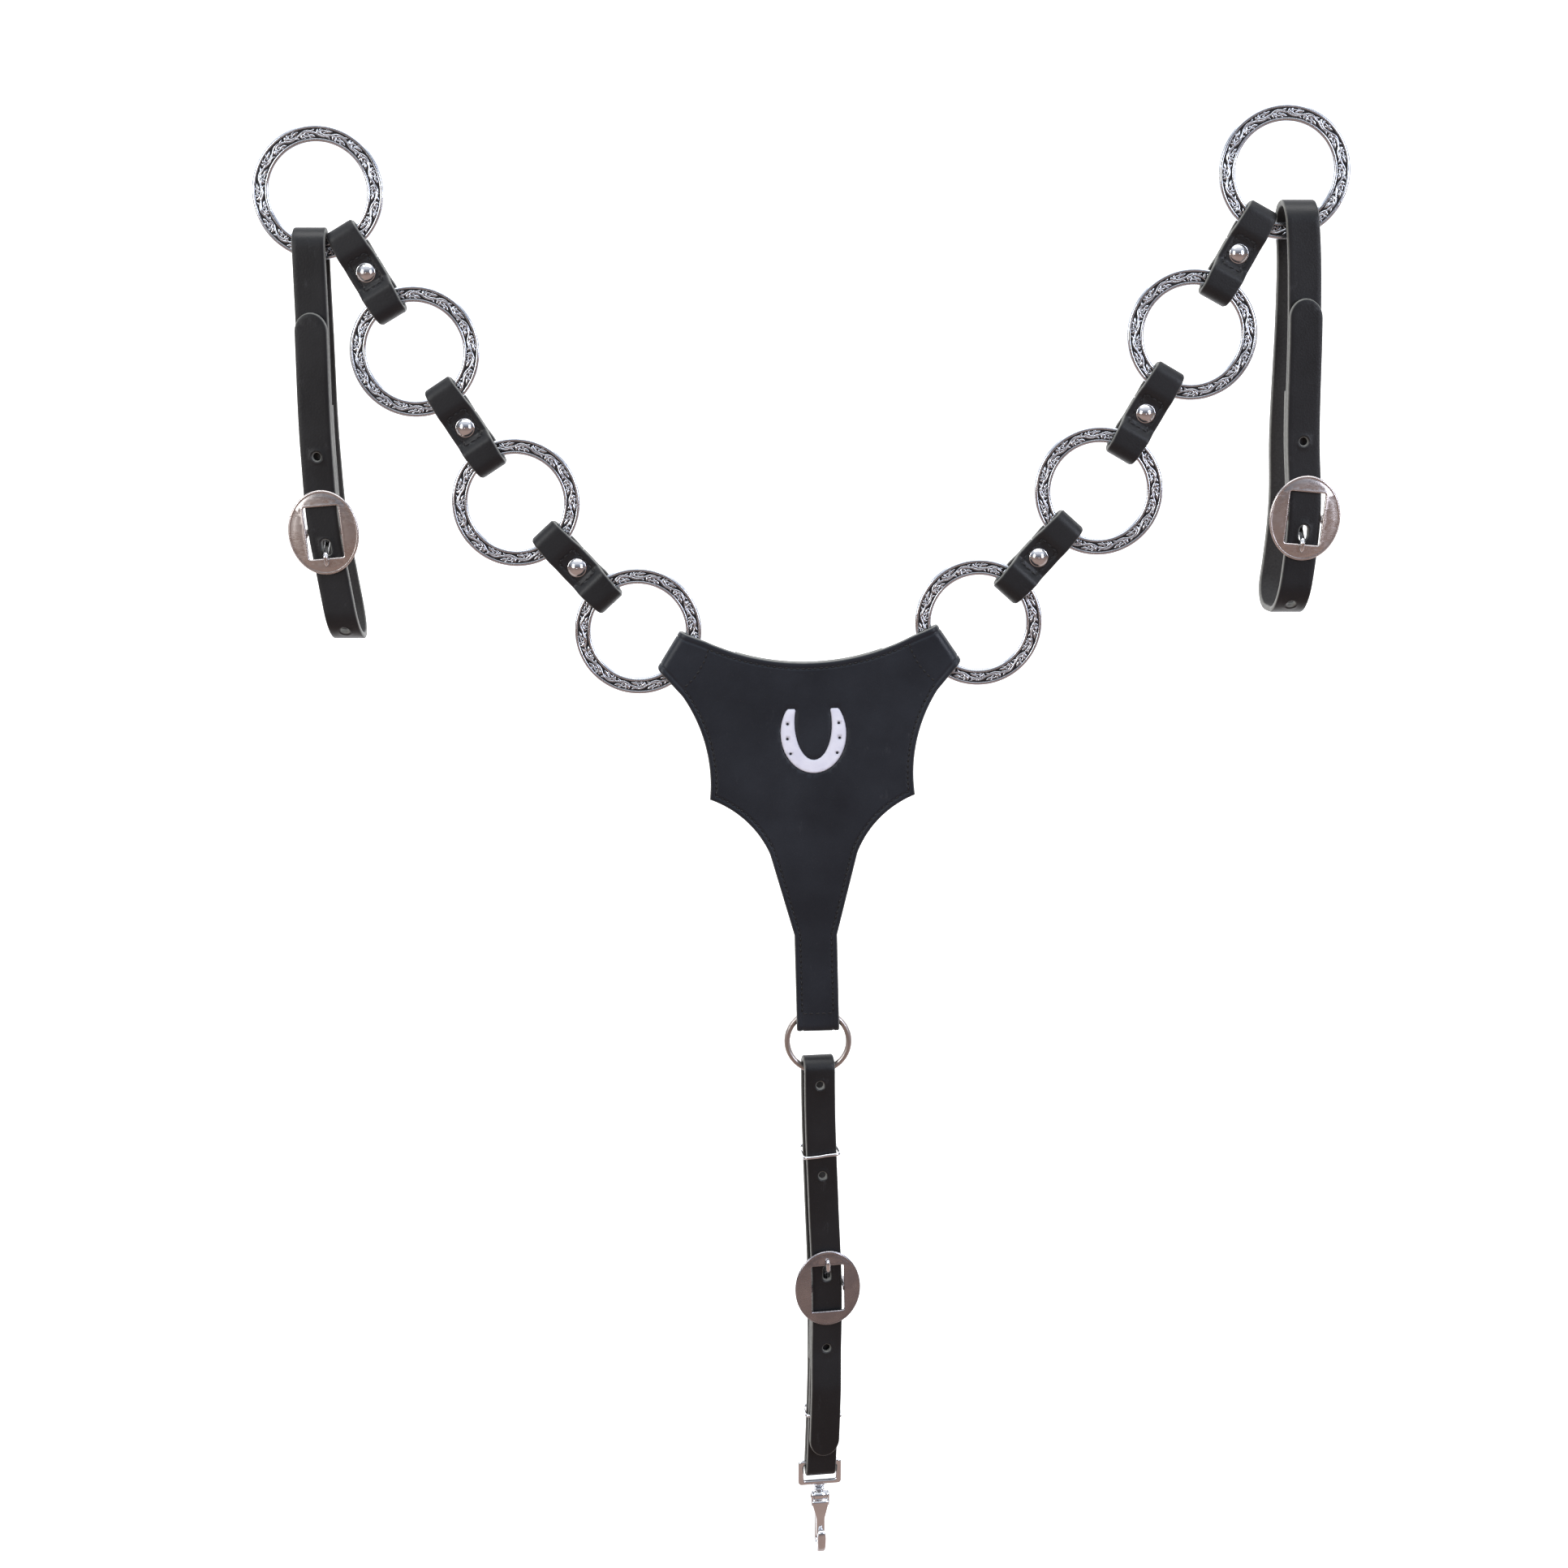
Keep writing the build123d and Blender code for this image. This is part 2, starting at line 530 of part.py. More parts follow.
def make_lower_strap():
    """Lower strap: from its buckle down round the snap's eye, up behind to the bottom ring,
    over it and down the front through the buckle."""
    level = lower_levels()
    bar_x, bar_z = LOWER_BUCKLE
    main, bar_y, bend = level["main"], level["bar"], level["bend"]
    turn_y = bar_y + LOWER_CHAPE_R
    bowed = turn_y + STRAP_THICK + PLY_GAP
    low = LOWER_FOLD + STRAP_THICK / 2
    lifted = level["billet"] - 3.3
    turn = (level["back"] - main) / 2 - 0.1
    path = [
        (level["turn"], LOWER_TURN_END), (level["turn"], bar_z - 16), (turn_y, bar_z - 8),
        (turn_y, bar_z + LOWER_CHAPE_R), (main, bar_z + LOWER_CHAPE_R), (main, low), (level["back"], low),
        (level["back"], bar_z - 60), (bowed, bar_z - 22), (bowed, bar_z + 12), (bend, level["top_z"] - 25),
        (bend, level["top_z"] + bend), (-bend, level["top_z"] + bend), (-bend, LOWER_TIP + 70),
        (lifted, LOWER_TIP + 45), (lifted, LOWER_TIP),
    ]
    radii = [8, 6, LOWER_CHAPE_R - 0.1, LOWER_CHAPE_R - 0.1, turn, turn, 30, 30, 30, 30,
             bend - 0.1, bend - 0.1, 40, 40]
    strap = strap_body(path, radii, LOWER_LINE)
    behind_billet = main - STRAP_THICK / 2 - PLY_GAP / 2
    front = lifted - STRAP_THICK
    strap -= rounded_tip(LOWER_LINE.x_at(LOWER_TIP + 5), LOWER_TIP, -1, front, behind_billet - 1)
    for z in LOWER_HOLES:
        strap -= across_hole(LOWER_LINE.x_at(z), z, front, behind_billet)
    strap -= across_hole(bar_x, bar_z + BUCKLE_HOLE, front, behind_billet, HOLE_DIAMETER, SLOT_LENGTH)
    width, length = BAR_SLOT
    strap -= Pos(bar_x, behind_billet + 7.0, bar_z + 2) * Box(width, 14, length)
    save(turn_lower(strap), "lower_strap")
    place = Pos(bar_x, bar_y, bar_z) * Rot(0, LOWER_LEAN, 0)
    save(turn_lower(place * buckle_frame()), "lower_buckle")
    save(turn_lower(place * buckle_tongue(1)), "lower_tongue")


def make_keepers():
    """Bent wire keepers that slide along the lower strap and hold its plies together."""
    for node, keeper in KEEPERS.items():
        half = KEEPER_WIRE / 2
        width = STRAP_WIDTH + 1.8 + KEEPER_WIRE
        depth = keeper["back"] - keeper["front"] + KEEPER_WIRE
        middle = (keeper["back"] + keeper["front"]) / 2
        path = RectangleRounded(width, depth, 3.0).face().outer_wire()
        start = Plane(origin=path @ 0, z_dir=path % 0)
        wire = sweep(start * Circle(half), path=path)
        place = Pos(LOWER_LINE.x_at(keeper["z"]), middle, keeper["z"]) * Rot(0, keeper["tilt"], 0)
        save(turn_lower(place * wire), node)


# ---- snap ----
EYE_WIDTH, EYE_WINDOW, EYE_DROP = 28.0, 20.4, 13.6
SNAP_BAR_R = 1.7
SHANK_WIDTH, SHANK_THICK = 5.0, 4.2
SHANK_Y, NOSE_Y = 4.4, -8.6         # depths of the shank and the hook's nose, from the eye's bar
HOOK_LOW, NOSE_TOP = -58.1, -43.4
KNUCKLE_WIDTH, KNUCKLE_R = 8.4, 3.3
GATE_PIVOT = (-1.3, -22.2)          # Y and Z from the eye's bar
GATE_WALL, GATE_ROOM = 1.1, 0.3
GATE_LENGTH = 26.5
GATE_END_WIDTH = 5.4
PIN_RADIUS, PIN_LENGTH = 1.25, 12.2
SPRING_R, SPRING_WIRE = 2.1, 0.3


def snap_eye():
    """Rectangular strap eye, round along its top bar."""
    frame = Pos(0, 0, -EYE_DROP / 2) * Box(EYE_WIDTH, 2 * SNAP_BAR_R, EYE_DROP + 2 * SNAP_BAR_R)
    frame = fillet(frame.edges().filter_by(Axis.Y), 2.0)
    frame -= Pos(0, 0, -EYE_DROP / 2) * Box(EYE_WINDOW, 10, EYE_DROP - 2 * SNAP_BAR_R)
    sharp_bar = Box(EYE_WINDOW, 10, 10)
    return frame - sharp_bar + Rot(0, 90, 0) * Cylinder(SNAP_BAR_R, EYE_WINDOW + 1)


def snap_body():
    """Shank and hook below the eye, with the knuckle that carries the gate."""
    path = [(0, -EYE_DROP), (SHANK_Y, -22.5), (SHANK_Y, HOOK_LOW), (NOSE_Y, HOOK_LOW), (NOSE_Y, NOSE_TOP)]
    hook = band_profile(path, [8, 6.3, 6.3], SHANK_THICK)
    hook = extrude(Plane.YZ * hook, amount=SHANK_WIDTH / 2, both=True)
    y, z = GATE_PIVOT
    knuckle = Pos(0, y, z) * Rot(0, 90, 0) * Cylinder(KNUCKLE_R, KNUCKLE_WIDTH)
    web = Pos(0, y + 2.3, z) * Box(KNUCKLE_WIDTH, 4.6, 2 * KNUCKLE_R)
    body = snap_eye() + hook + knuckle + web
    spring_room = Pos(KNUCKLE_WIDTH / 2 - 1.1, y, z) * Rot(0, 90, 0) * Cylinder(SPRING_R + 0.6, 2.2)
    bore = Pos(0, y, z) * Rot(0, 90, 0) * Cylinder(PIN_RADIUS, 20)
    return body - spring_room - bore


def gate_front(half_top, half_end):
    """The gate's front outline: broad over the knuckle, then narrowing to its end."""
    y, z = GATE_PIVOT
    right = [(half_top, z + 9), (half_top, z - 4), (half_end, z - 15), (half_end, z - 30)]
    left = [(-x, height) for x, height in reversed(right)]
    outline = make_face(Polyline(*right, *left, close=True).edges())
    return extrude(Plane.XZ * outline, amount=20, both=True)


def snap_gate():
    """Channel-shaped gate lever that closes behind the hook's nose."""
    y, z = GATE_PIVOT
    inside = KNUCKLE_WIDTH / 2 + GATE_ROOM
    outside = inside + GATE_WALL
    side = Polyline((y - 3.4, z + 1.5), (y - 4.4, z - GATE_LENGTH), (y - 1.6, z - GATE_LENGTH),
                    (y + 3.0, z - 1.0), (y + 2.2, z + 2.6), (y - 1.8, z + 3.0), close=True)
    channel = Polyline((y - 2.2, z + 9), (y - 3.35, z - 30), (y + 9, z - 30), (y + 9, z + 9), close=True)
    gate = extrude(Plane.YZ * make_face(side.edges()), amount=outside, both=True)
    gate &= gate_front(outside, GATE_END_WIDTH / 2)
    room = extrude(Plane.YZ * make_face(channel.edges()), amount=inside, both=True)
    gate -= room & gate_front(inside, GATE_END_WIDTH / 2 - GATE_WALL)
    gate -= Pos(0, y, z) * Rot(0, 90, 0) * Cylinder(KNUCKLE_R + GATE_ROOM, 2 * inside)
    gate -= Pos(0, NOSE_Y, NOSE_TOP - 6.6) * Box(20, SHANK_THICK + 0.5, 30)
    return gate - Pos(0, y, z) * Rot(0, 90, 0) * Cylinder(PIN_RADIUS + 0.05, 20)


def snap_spring():
    """Three coils round the pin, in the knuckle's pocket."""
    y, z = GATE_PIVOT
    middle = KNUCKLE_WIDTH / 2 - 1.05
    spring = Pos(middle, y, z - SPRING_R) * Rot(0, 90, 0) * Cylinder(0.25, 1.6)
    for shift in (-0.65, 0, 0.65):
        spring += Pos(middle + shift, y, z) * Rot(0, 90, 0) * Torus(SPRING_R, SPRING_WIRE)
    return spring


def make_snap():
    place = Pos(*SNAP_PIVOT)
    y, z = GATE_PIVOT
    pin = Pos(0, y, z) * Rot(0, 90, 0) * Cylinder(PIN_RADIUS, PIN_LENGTH)
    for node, shape in (("snap_body", snap_body()), ("snap_gate", snap_gate()),
                        ("snap_spring", snap_spring()), ("snap_pin", pin)):
        save(turn_lower(place * shape), node)


make_rings()
make_yoke()
make_bottom_ring()
make_links()
make_tug("left")
make_tug("right")
make_lower_strap()
make_keepers()
make_snap()
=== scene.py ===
import json
from math import cos, degrees, hypot, pi, radians, sin, sqrt

import bmesh
import bpy
import numpy as np
from mathutils import Matrix, Vector
from mathutils.geometry import delaunay_2d_cdt


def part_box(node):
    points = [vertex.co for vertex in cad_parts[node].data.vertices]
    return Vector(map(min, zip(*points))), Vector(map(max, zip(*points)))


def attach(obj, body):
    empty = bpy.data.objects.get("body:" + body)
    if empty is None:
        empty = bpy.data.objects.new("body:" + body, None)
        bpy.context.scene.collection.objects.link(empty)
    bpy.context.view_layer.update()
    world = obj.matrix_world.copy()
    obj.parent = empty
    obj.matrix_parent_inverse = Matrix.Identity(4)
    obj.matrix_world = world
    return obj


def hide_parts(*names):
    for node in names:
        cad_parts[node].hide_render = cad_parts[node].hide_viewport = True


# Western ring breast collar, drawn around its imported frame.
# Shapes are worked out in millimetres and become metres in solid.
MM = 0.001

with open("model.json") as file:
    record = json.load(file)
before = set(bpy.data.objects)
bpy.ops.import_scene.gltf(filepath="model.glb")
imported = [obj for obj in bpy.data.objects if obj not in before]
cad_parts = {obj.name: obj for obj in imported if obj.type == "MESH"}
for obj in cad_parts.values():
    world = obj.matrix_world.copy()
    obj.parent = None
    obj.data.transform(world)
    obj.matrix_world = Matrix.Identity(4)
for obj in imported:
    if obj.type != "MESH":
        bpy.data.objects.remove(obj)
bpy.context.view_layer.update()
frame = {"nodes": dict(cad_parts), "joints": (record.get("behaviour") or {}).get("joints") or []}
JOINTS = {joint["name"]: joint for joint in frame["joints"]}

# ---- driving dimensions, as in the frame, in millimetres ----
RING_R = 37.5
RING_BAND = 9.6
RING_THICK = 4.7
RING_HOLE_R = RING_R - RING_BAND
BAND_MID_R = RING_R - RING_BAND / 2
LOOP_WIRE = 3.8
LOOP_MID_R = (41.4 - LOOP_WIRE) / 2
PANEL = 3.2
STRAP_WIDTH = 19.0
STRAP_THICK = 3.8
LINK_THICK = 3.5
LINK_PITCH = 103.5
PLY_GAP = 0.3
NECK_WIDTH = 26.0
NECK_END = -188.5
FIRST_RING = (100.3, 60.1)
WING_ANGLE = 33.0
WING_WIDTH = 26.0
WING_FOLD = 20.8
HOLE_R = 2.3
BAR_RADIUS = 1.8
SIDES = {"left": -1, "right": 1}


def joint_place(name):
    return [value / MM for value in JOINTS[name]["pos_m"]]


def ring_centre(side, number):
    x, _, z = joint_place(f"{side}_ring_{number}_turn")
    return x, z


# ---- meshes ----
def solid(name, shape, material):
    """A smooth mesh of a shape, brought from millimetres to metres, with its marks and its faces outwards."""
    mesh = bpy.data.meshes.new(name)
    mesh.from_pydata([(x * MM, y * MM, z * MM) for x, y, z in shape.verts], [], shape.faces)
    for key, values in shape.marks.items():
        mesh.attributes.new(key, "FLOAT", "POINT").data.foreach_set("value", values)
    shell = bmesh.new()
    shell.from_mesh(mesh)
    bmesh.ops.recalc_face_normals(shell, faces=shell.faces)
    shell.to_mesh(mesh)
    shell.free()
    mesh.polygons.foreach_set("use_smooth", [True] * len(mesh.polygons))
    mesh.materials.append(material)
    return mesh


def add_piece(name, mesh, body, node=None, place=None):
    piece = bpy.data.objects.new(name, mesh)
    bpy.context.scene.collection.objects.link(piece)
    if place is not None:
        piece.matrix_world = place
    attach(piece, body)
    if node:
        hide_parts(node)
    return piece


def add_shape(name, shape, body, material, node=None):
    """A piece made from a shape; it rides on a body and stands for its node."""
    return add_piece(name, solid(name, shape, material), body, node)


class Shape:
    """Points, faces and marks gathered from several simple shapes."""

    def __init__(self):
        self.verts = []
        self.faces = []
        self.marks = {}

    def add(self, verts, faces, **marks):
        base = len(self.verts)
        self.verts += [tuple(v) for v in verts]
        self.faces += [[base + i for i in face] for face in faces]
        for key in {**self.marks, **marks}:
            values = self.marks.setdefault(key, [0.0] * base)
            given = marks.get(key, 0.0)
            values += list(given) if hasattr(given, "__len__") else [given] * len(verts)
        return self

    def moved(self, matrix):
        self.verts = [tuple(matrix @ Vector(v)) for v in self.verts]
        return self

    def merge(self, other):
        return self.add(other.verts, other.faces, **other.marks)


def grid_faces(rows, columns, close_rows=False, close_columns=False):
    faces = []
    for i in range(rows if close_rows else rows - 1):
        for j in range(columns if close_columns else columns - 1):
            nxt, side = (i + 1) % rows, (j + 1) % columns
            faces.append([i * columns + j, nxt * columns + j, nxt * columns + side, i * columns + side])
    return faces


def tube_faces(rows, columns):
    """Faces of closed rows, with one more face over each end."""
    ends = [list(range(columns)), list(range((rows - 1) * columns, rows * columns))]
    return grid_faces(rows, columns, False, True) + ends


def lathe(profile, segments):
    """A closed (radius, Y) profile turned about the Y axis."""
    verts = []
    for i in range(segments):
        angle = 2 * pi * i / segments
        verts += [(r * cos(angle), y, r * sin(angle)) for r, y in profile]
    return verts, grid_faces(segments, len(profile), True, True)


def sweep(path, section, closed=False, scales=None, up=(1, 0, 0)):
    """A closed section, (sideways, outwards) pairs, swept along 3-D points; sideways is along up."""
    points = [Vector(p) for p in path]
    count = len(points)
    verts = []
    for i, point in enumerate(points):
        before = points[i - 1] if closed or i else point
        after = points[(i + 1) % count] if closed or i < count - 1 else point
        along = (after - before).normalized()
        side = Vector(up) - along * along.dot(Vector(up))
        side.normalize()
        out = along.cross(side)
        wide, deep = scales[i] if scales else (1, 1)
        verts += [point + side * u * wide + out * v * deep for u, v in section]
    columns = len(section)
    return verts, grid_faces(count, columns, True, True) if closed else tube_faces(count, columns)


def round_section(radius, count):
    return [(radius * cos(2 * pi * i / count), radius * sin(2 * pi * i / count)) for i in range(count)]


def box_section(width, height, radius, steps=4):
    """A rectangle with round corners."""
    points = []
    for turn, (sx, sy) in enumerate([(1, 1), (-1, 1), (-1, -1), (1, -1)]):
        for k in range(steps + 1):
            angle = radians(90 * turn + 90 * k / steps)
            points.append((sx * (width / 2 - radius) + radius * cos(angle),
                           sy * (height / 2 - radius) + radius * sin(angle)))
    return points


# ---- flat outlines ----
def arc_through(a, b, c, count):
    """Points of the arc from a to c through b, without its last one."""
    (ax, ay), (bx, by), (cx, cy) = a, b, c
    d = 2 * (ax * (by - cy) + bx * (cy - ay) + cx * (ay - by))
    aa, bb, cc = ax * ax + ay * ay, bx * bx + by * by, cx * cx + cy * cy
    x = (aa * (by - cy) + bb * (cy - ay) + cc * (ay - by)) / d
    y = (aa * (cx - bx) + bb * (ax - cx) + cc * (bx - ax)) / d
    r = hypot(ax - x, ay - y)
    start, middle, end = [np.arctan2(py - y, px - x) for px, py in (a, b, c)]
    turn = (end - start) % (2 * pi)
    if (middle - start) % (2 * pi) > turn:
        turn -= 2 * pi
    angles = [start + turn * i / count for i in range(count)]
    return [(x + r * cos(angle), y + r * sin(angle)) for angle in angles]


def run(a, b, step):
    """Points of a straight run from a to b, without its last one."""
    count = max(1, round(hypot(b[0] - a[0], b[1] - a[1]) / step))
    return [(a[0] + (b[0] - a[0]) * i / count, a[1] + (b[1] - a[1]) * i / count) for i in range(count)]


def dense(loop, step):
    """A closed loop with more points on its straight runs, about a step apart."""
    return [point for a, b in zip(loop, loop[1:] + loop[:1]) for point in run(a, b, step)]


def circle(x, y, radius, count=20, tall=0.0):
    """A hole's outline, clockwise; tall stretches it into a slot along its first axis."""
    points = []
    for i in range(count):
        angle = -2 * pi * (i + 0.5) / count
        shift = tall if cos(angle) > 0 else -tall
        points.append((x + shift + radius * cos(angle), y + radius * sin(angle)))
    return points


def inset(loop, distance):
    """A loop moved to its left by a distance: inwards when it runs counter-clockwise."""
    p = np.array(loop, float)
    forward = np.roll(p, -1, axis=0) - p
    forward /= np.linalg.norm(forward, axis=1)[:, None]
    normal = np.stack([-forward[:, 1], forward[:, 0]], axis=1)
    before = np.roll(normal, 1, axis=0)
    bend = 1 + (normal * before).sum(axis=1)
    return p + distance * (normal + before) / np.maximum(bend, 0.4)[:, None]


def inside(points, loop):
    """Which points lie inside a loop."""
    x, y = points[:, 0], points[:, 1]
    result = np.zeros(len(points), bool)
    loop = np.array(loop, float)
    for (x0, y0), (x1, y1) in zip(loop, np.roll(loop, -1, axis=0)):
        crosses = (y0 > y) != (y1 > y)
        if crosses.any():
            reach = x0 + (y - y0) * (x1 - x0) / (y1 - y0 if y1 != y0 else 1e-9)
            result ^= crosses & (x < reach)
    return result


# a distance from the cut edge that is past every rounded edge
FAR = 99.0
# how far in from the cut edge, and how deep below the face, the rounded edge runs
EDGE_ROUNDING = [(0.1, 0.85), (0.3, 0.42), (0.65, 0.12), (1.1, 0.0)]
HOLE_ROUNDING = [(0.05, 0.85), (0.35, 0.5), (0.8, 0.22), (1.1, -0.1), (1.4, -0.14), (1.8, 0.0)]


def sheet(outline, holes, rows, thickness, place, bands=EDGE_ROUNDING, hole_bands=HOLE_ROUNDING, extra=()):
    """A sheet cut to an outline, with rounded edges, then put in space by place(u, v, depth).
    Holes run clockwise, rows are the points inside, and extra holds (loop, depth) creases."""
    loops = [(inset(loop, distance), drop, distance)
             for loop, steps in [(outline, bands)] + [(hole, hole_bands) for hole in holes]
             for distance, drop in steps]
    loops += [(np.array(loop, float), drop, FAR) for loop, drop in extra]
    rows = np.array(rows, float).reshape(-1, 2)
    keep = inside(rows, inset(outline, bands[-1][0] + 0.5))
    for hole in holes:
        keep &= ~inside(rows, inset(hole, hole_bands[-1][0] + 0.4))
    rows = rows[keep]
    points, drops, edges = [], [], []
    for loop, drop, distance in loops:
        base = len(points)
        points += list(map(tuple, loop))
        drops += [(drop, distance)] * len(loop)
        edges += [(base + i, base + (i + 1) % len(loop)) for i in range(len(loop))]
    points += list(map(tuple, rows))
    drops += [(0.0, FAR)] * len(rows)
    flat, _, triangles, origin, _, _ = delaunay_2d_cdt([Vector(p) for p in points], edges, [], 0, 1e-5)
    flat = np.array([tuple(p) for p in flat])
    triangles = np.array([list(t) for t in triangles])
    middle = flat[triangles].mean(axis=1)
    kept = inside(middle, inset(outline, bands[0][0]))
    for hole in holes:
        kept &= ~inside(middle, inset(hole, hole_bands[0][0]))
    found = [drops[o[0]] if o else (0.0, FAR) for o in origin]
    return wall_up(flat, triangles[kept], found, thickness, place)


def wall_up(flat, triangles, found, thickness, place):
    """Both faces of a sheet from one flat triangulation, and the wall between them."""
    count = len(flat)
    half = thickness / 2
    shape = Shape()
    cut = [max(0.0, 1 - distance / 0.9) for _, distance in found]
    front = [place(u, v, half - drop) for (u, v), (drop, _) in zip(flat, found)]
    back = [place(u, v, -half + max(drop, 0)) for (u, v), (drop, _) in zip(flat, found)]
    shape.add(front + back, [], edge=cut + cut, flesh=[0.0] * count + [1.0] * count)
    for a, b, c in triangles:
        shape.faces.append([a, b, c])
        shape.faces.append([count + c, count + b, count + a])
    rims = {}
    for a, b, c in triangles:
        rims |= {(a, b): True, (b, c): True, (c, a): True}
    border = {i: j for (i, j) in rims if (j, i) not in rims}
    while border:
        i, loop = next(iter(border)), []
        while i in border:
            loop.append(i)
            i = border.pop(i)
        ring = np.array([flat[i] for i in loop])
        sides = inset(ring, -found[loop[0]][1])
        base = len(shape.verts)
        shape.add([place(u, v, 0.0) for u, v in sides], [], edge=1.0, flesh=0.5)
        size = len(loop)
        for k in range(size):
            nxt = (k + 1) % size
            shape.faces.append([loop[nxt], loop[k], base + k, base + nxt])
            shape.faces.append([base + nxt, base + k, count + loop[k], count + loop[nxt]])
    used = sorted({i for face in shape.faces for i in face})
    renumber = {old: new for new, old in enumerate(used)}
    shape.verts = [shape.verts[i] for i in used]
    shape.faces = [[renumber[i] for i in face] for face in shape.faces]
    shape.marks = {key: [values[i] for i in used] for key, values in shape.marks.items()}
    return shape


# ---- straps seen edge-on ----
def turned(v, angle):
    return Vector((v.x * cos(angle) - v.y * sin(angle), v.x * sin(angle) + v.y * cos(angle)))


class Bend:
    """A strap's middle line seen edge-on: straight runs joined by arcs.
    grain is +1 when the smooth side is on the left of the path."""

    def __init__(self, points, radii, grain=1, step=4.0):
        self.grain = grain
        samples = [(points[0], None)]
        for a, b, c, radius in zip(points, points[1:], points[2:], radii):
            a, b, c = Vector(a), Vector(b), Vector(c)
            before, after = (b - a).normalized(), (c - b).normalized()
            turn = before.angle_signed(after)
            reach = radius * np.tan(abs(turn) / 2)
            side = -1 if turn > 0 else 1
            start = b - before * reach
            centre = start + Vector((-before.y, before.x)) * radius * side
            count = max(3, round(degrees(abs(turn)) / 7.5))
            for k in range(count + 1):
                angle = side * abs(turn) * k / count
                samples.append((centre + turned(start - centre, angle), turned(before, angle)))
        samples.append((points[-1], None))
        places = np.array([tuple(place) for place, _ in samples], float)
        gaps = np.linalg.norm(np.diff(places, axis=0), axis=1)
        keep = np.concatenate([[True], gaps > 1e-4])
        places = places[keep]
        headings = [h for (_, h), k in zip(samples, keep) if k]
        ends = [places[1] - places[0], places[-1] - places[-2]]
        headings[0], headings[-1] = [Vector(e).normalized() for e in ends]
        self.places = places
        self.headings = np.array([tuple(h) for h in headings], float)
        lengths = np.linalg.norm(np.diff(places, axis=0), axis=1)
        self.along = np.concatenate([[0.0], np.cumsum(lengths)])
        self.length = self.along[-1]
        self.rows = []
        for s0, s1 in zip(self.along, self.along[1:]):
            count = max(1, round((s1 - s0) / step))
            self.rows += [s0 + (s1 - s0) * k / count for k in range(count)]
        self.rows.append(self.length)

    def at(self, s, depth=0.0):
        """The point at a length along the strap, depth millimetres out of its grain side."""
        u, v = [np.interp(s, self.along, self.places[:, i]) for i in (0, 1)]
        hu, hv = [np.interp(s, self.along, self.headings[:, i]) for i in (0, 1)]
        size = hypot(hu, hv)
        return u - self.grain * depth * hv / size, v + self.grain * depth * hu / size

    def length_to(self, corner_test):
        """The first length along the strap where a test of the place holds."""
        for s in np.arange(0, self.length, 0.2):
            if corner_test(*self.at(s)):
                return s
        return self.length


def strap_rows(bend, half, columns=(-0.66, -0.33, 0.0, 0.33, 0.66)):
    return [(s, half * c) for s in bend.rows for c in columns]


def strap_outline(bend, half, tip=0.0, width=None):
    """Counter-clockwise outline of a strap laid flat, with its end rounded over tip millimetres."""
    width = width or (lambda s: half)
    body = [s for s in bend.rows if s < bend.length - tip - 0.3] + [bend.length - tip]
    low = [(s, -width(s)) for s in body]
    high = [(s, width(s)) for s in reversed(body)]
    if tip:
        angles = [-pi / 2 + pi * k / 24 for k in range(1, 24)]
        end = [(bend.length - tip + tip * cos(angle), half * sin(angle)) for angle in angles]
    else:
        end = [(bend.length, half * c) for c in (-0.6, -0.2, 0.2, 0.6)]
    start = [(0.0, half * c) for c in (0.6, 0.2, -0.2, -0.6)]
    return low + end + high + start


class Drift:
    """Where a hanging strap's middle runs from side to side, from (Z, X) points, a sideways lean
    for its back ply and a turn of the whole strap."""

    def __init__(self, points, lean=0.0, turn=None):
        self.heights, self.sides = np.array(sorted(points), float).T
        self.slopes = np.gradient(self.sides, self.heights)
        self.lean = lean
        self.turn = turn or Matrix.Identity(4)

    def x_at(self, z):
        zs, xs, slopes = self.heights, self.sides, self.slopes
        z = min(max(z, zs[0]), zs[-1])
        i = min(int(np.searchsorted(zs, z, "right")) - 1, len(zs) - 2)
        h = zs[i + 1] - zs[i]
        t = (z - zs[i]) / h
        return ((2 * t ** 3 - 3 * t ** 2 + 1) * xs[i] + (t ** 3 - 2 * t ** 2 + t) * h * slopes[i]
                + (3 * t ** 2 - 2 * t ** 3) * xs[i + 1] + (t ** 3 - t ** 2) * h * slopes[i + 1])

    def place(self, bend):
        def put(s, w, depth):
            y, z = bend.at(s, depth)
            return tuple(self.turn @ Vector((self.x_at(z) + w + self.lean * max(y, 0.0), y, z)))
        return put


# ---- stitches ----
def stitch(shape, a, b, out, radius=0.42):
    """One thread stitch: a plump rounded bar from a to b that lies on the surface."""
    a, b, out = Vector(a), Vector(b), Vector(out).normalized()
    along = b - a
    side = along.cross(out).normalized()
    verts = []
    rings = [(0.0, 0.35, -0.7), (0.12, 0.85, -0.1), (0.35, 1.0, 0.28)]
    rings += [(1 - t, fat, lift) for t, fat, lift in reversed(rings)]
    for t, fat, lift in rings:
        middle = a + along * t + out * lift * radius
        for k in range(6):
            angle = 2 * pi * k / 6
            verts.append(middle + side * radius * fat * cos(angle) + out * radius * 0.8 * fat * sin(angle))
    shape.add(verts, tube_faces(len(rings), 6))


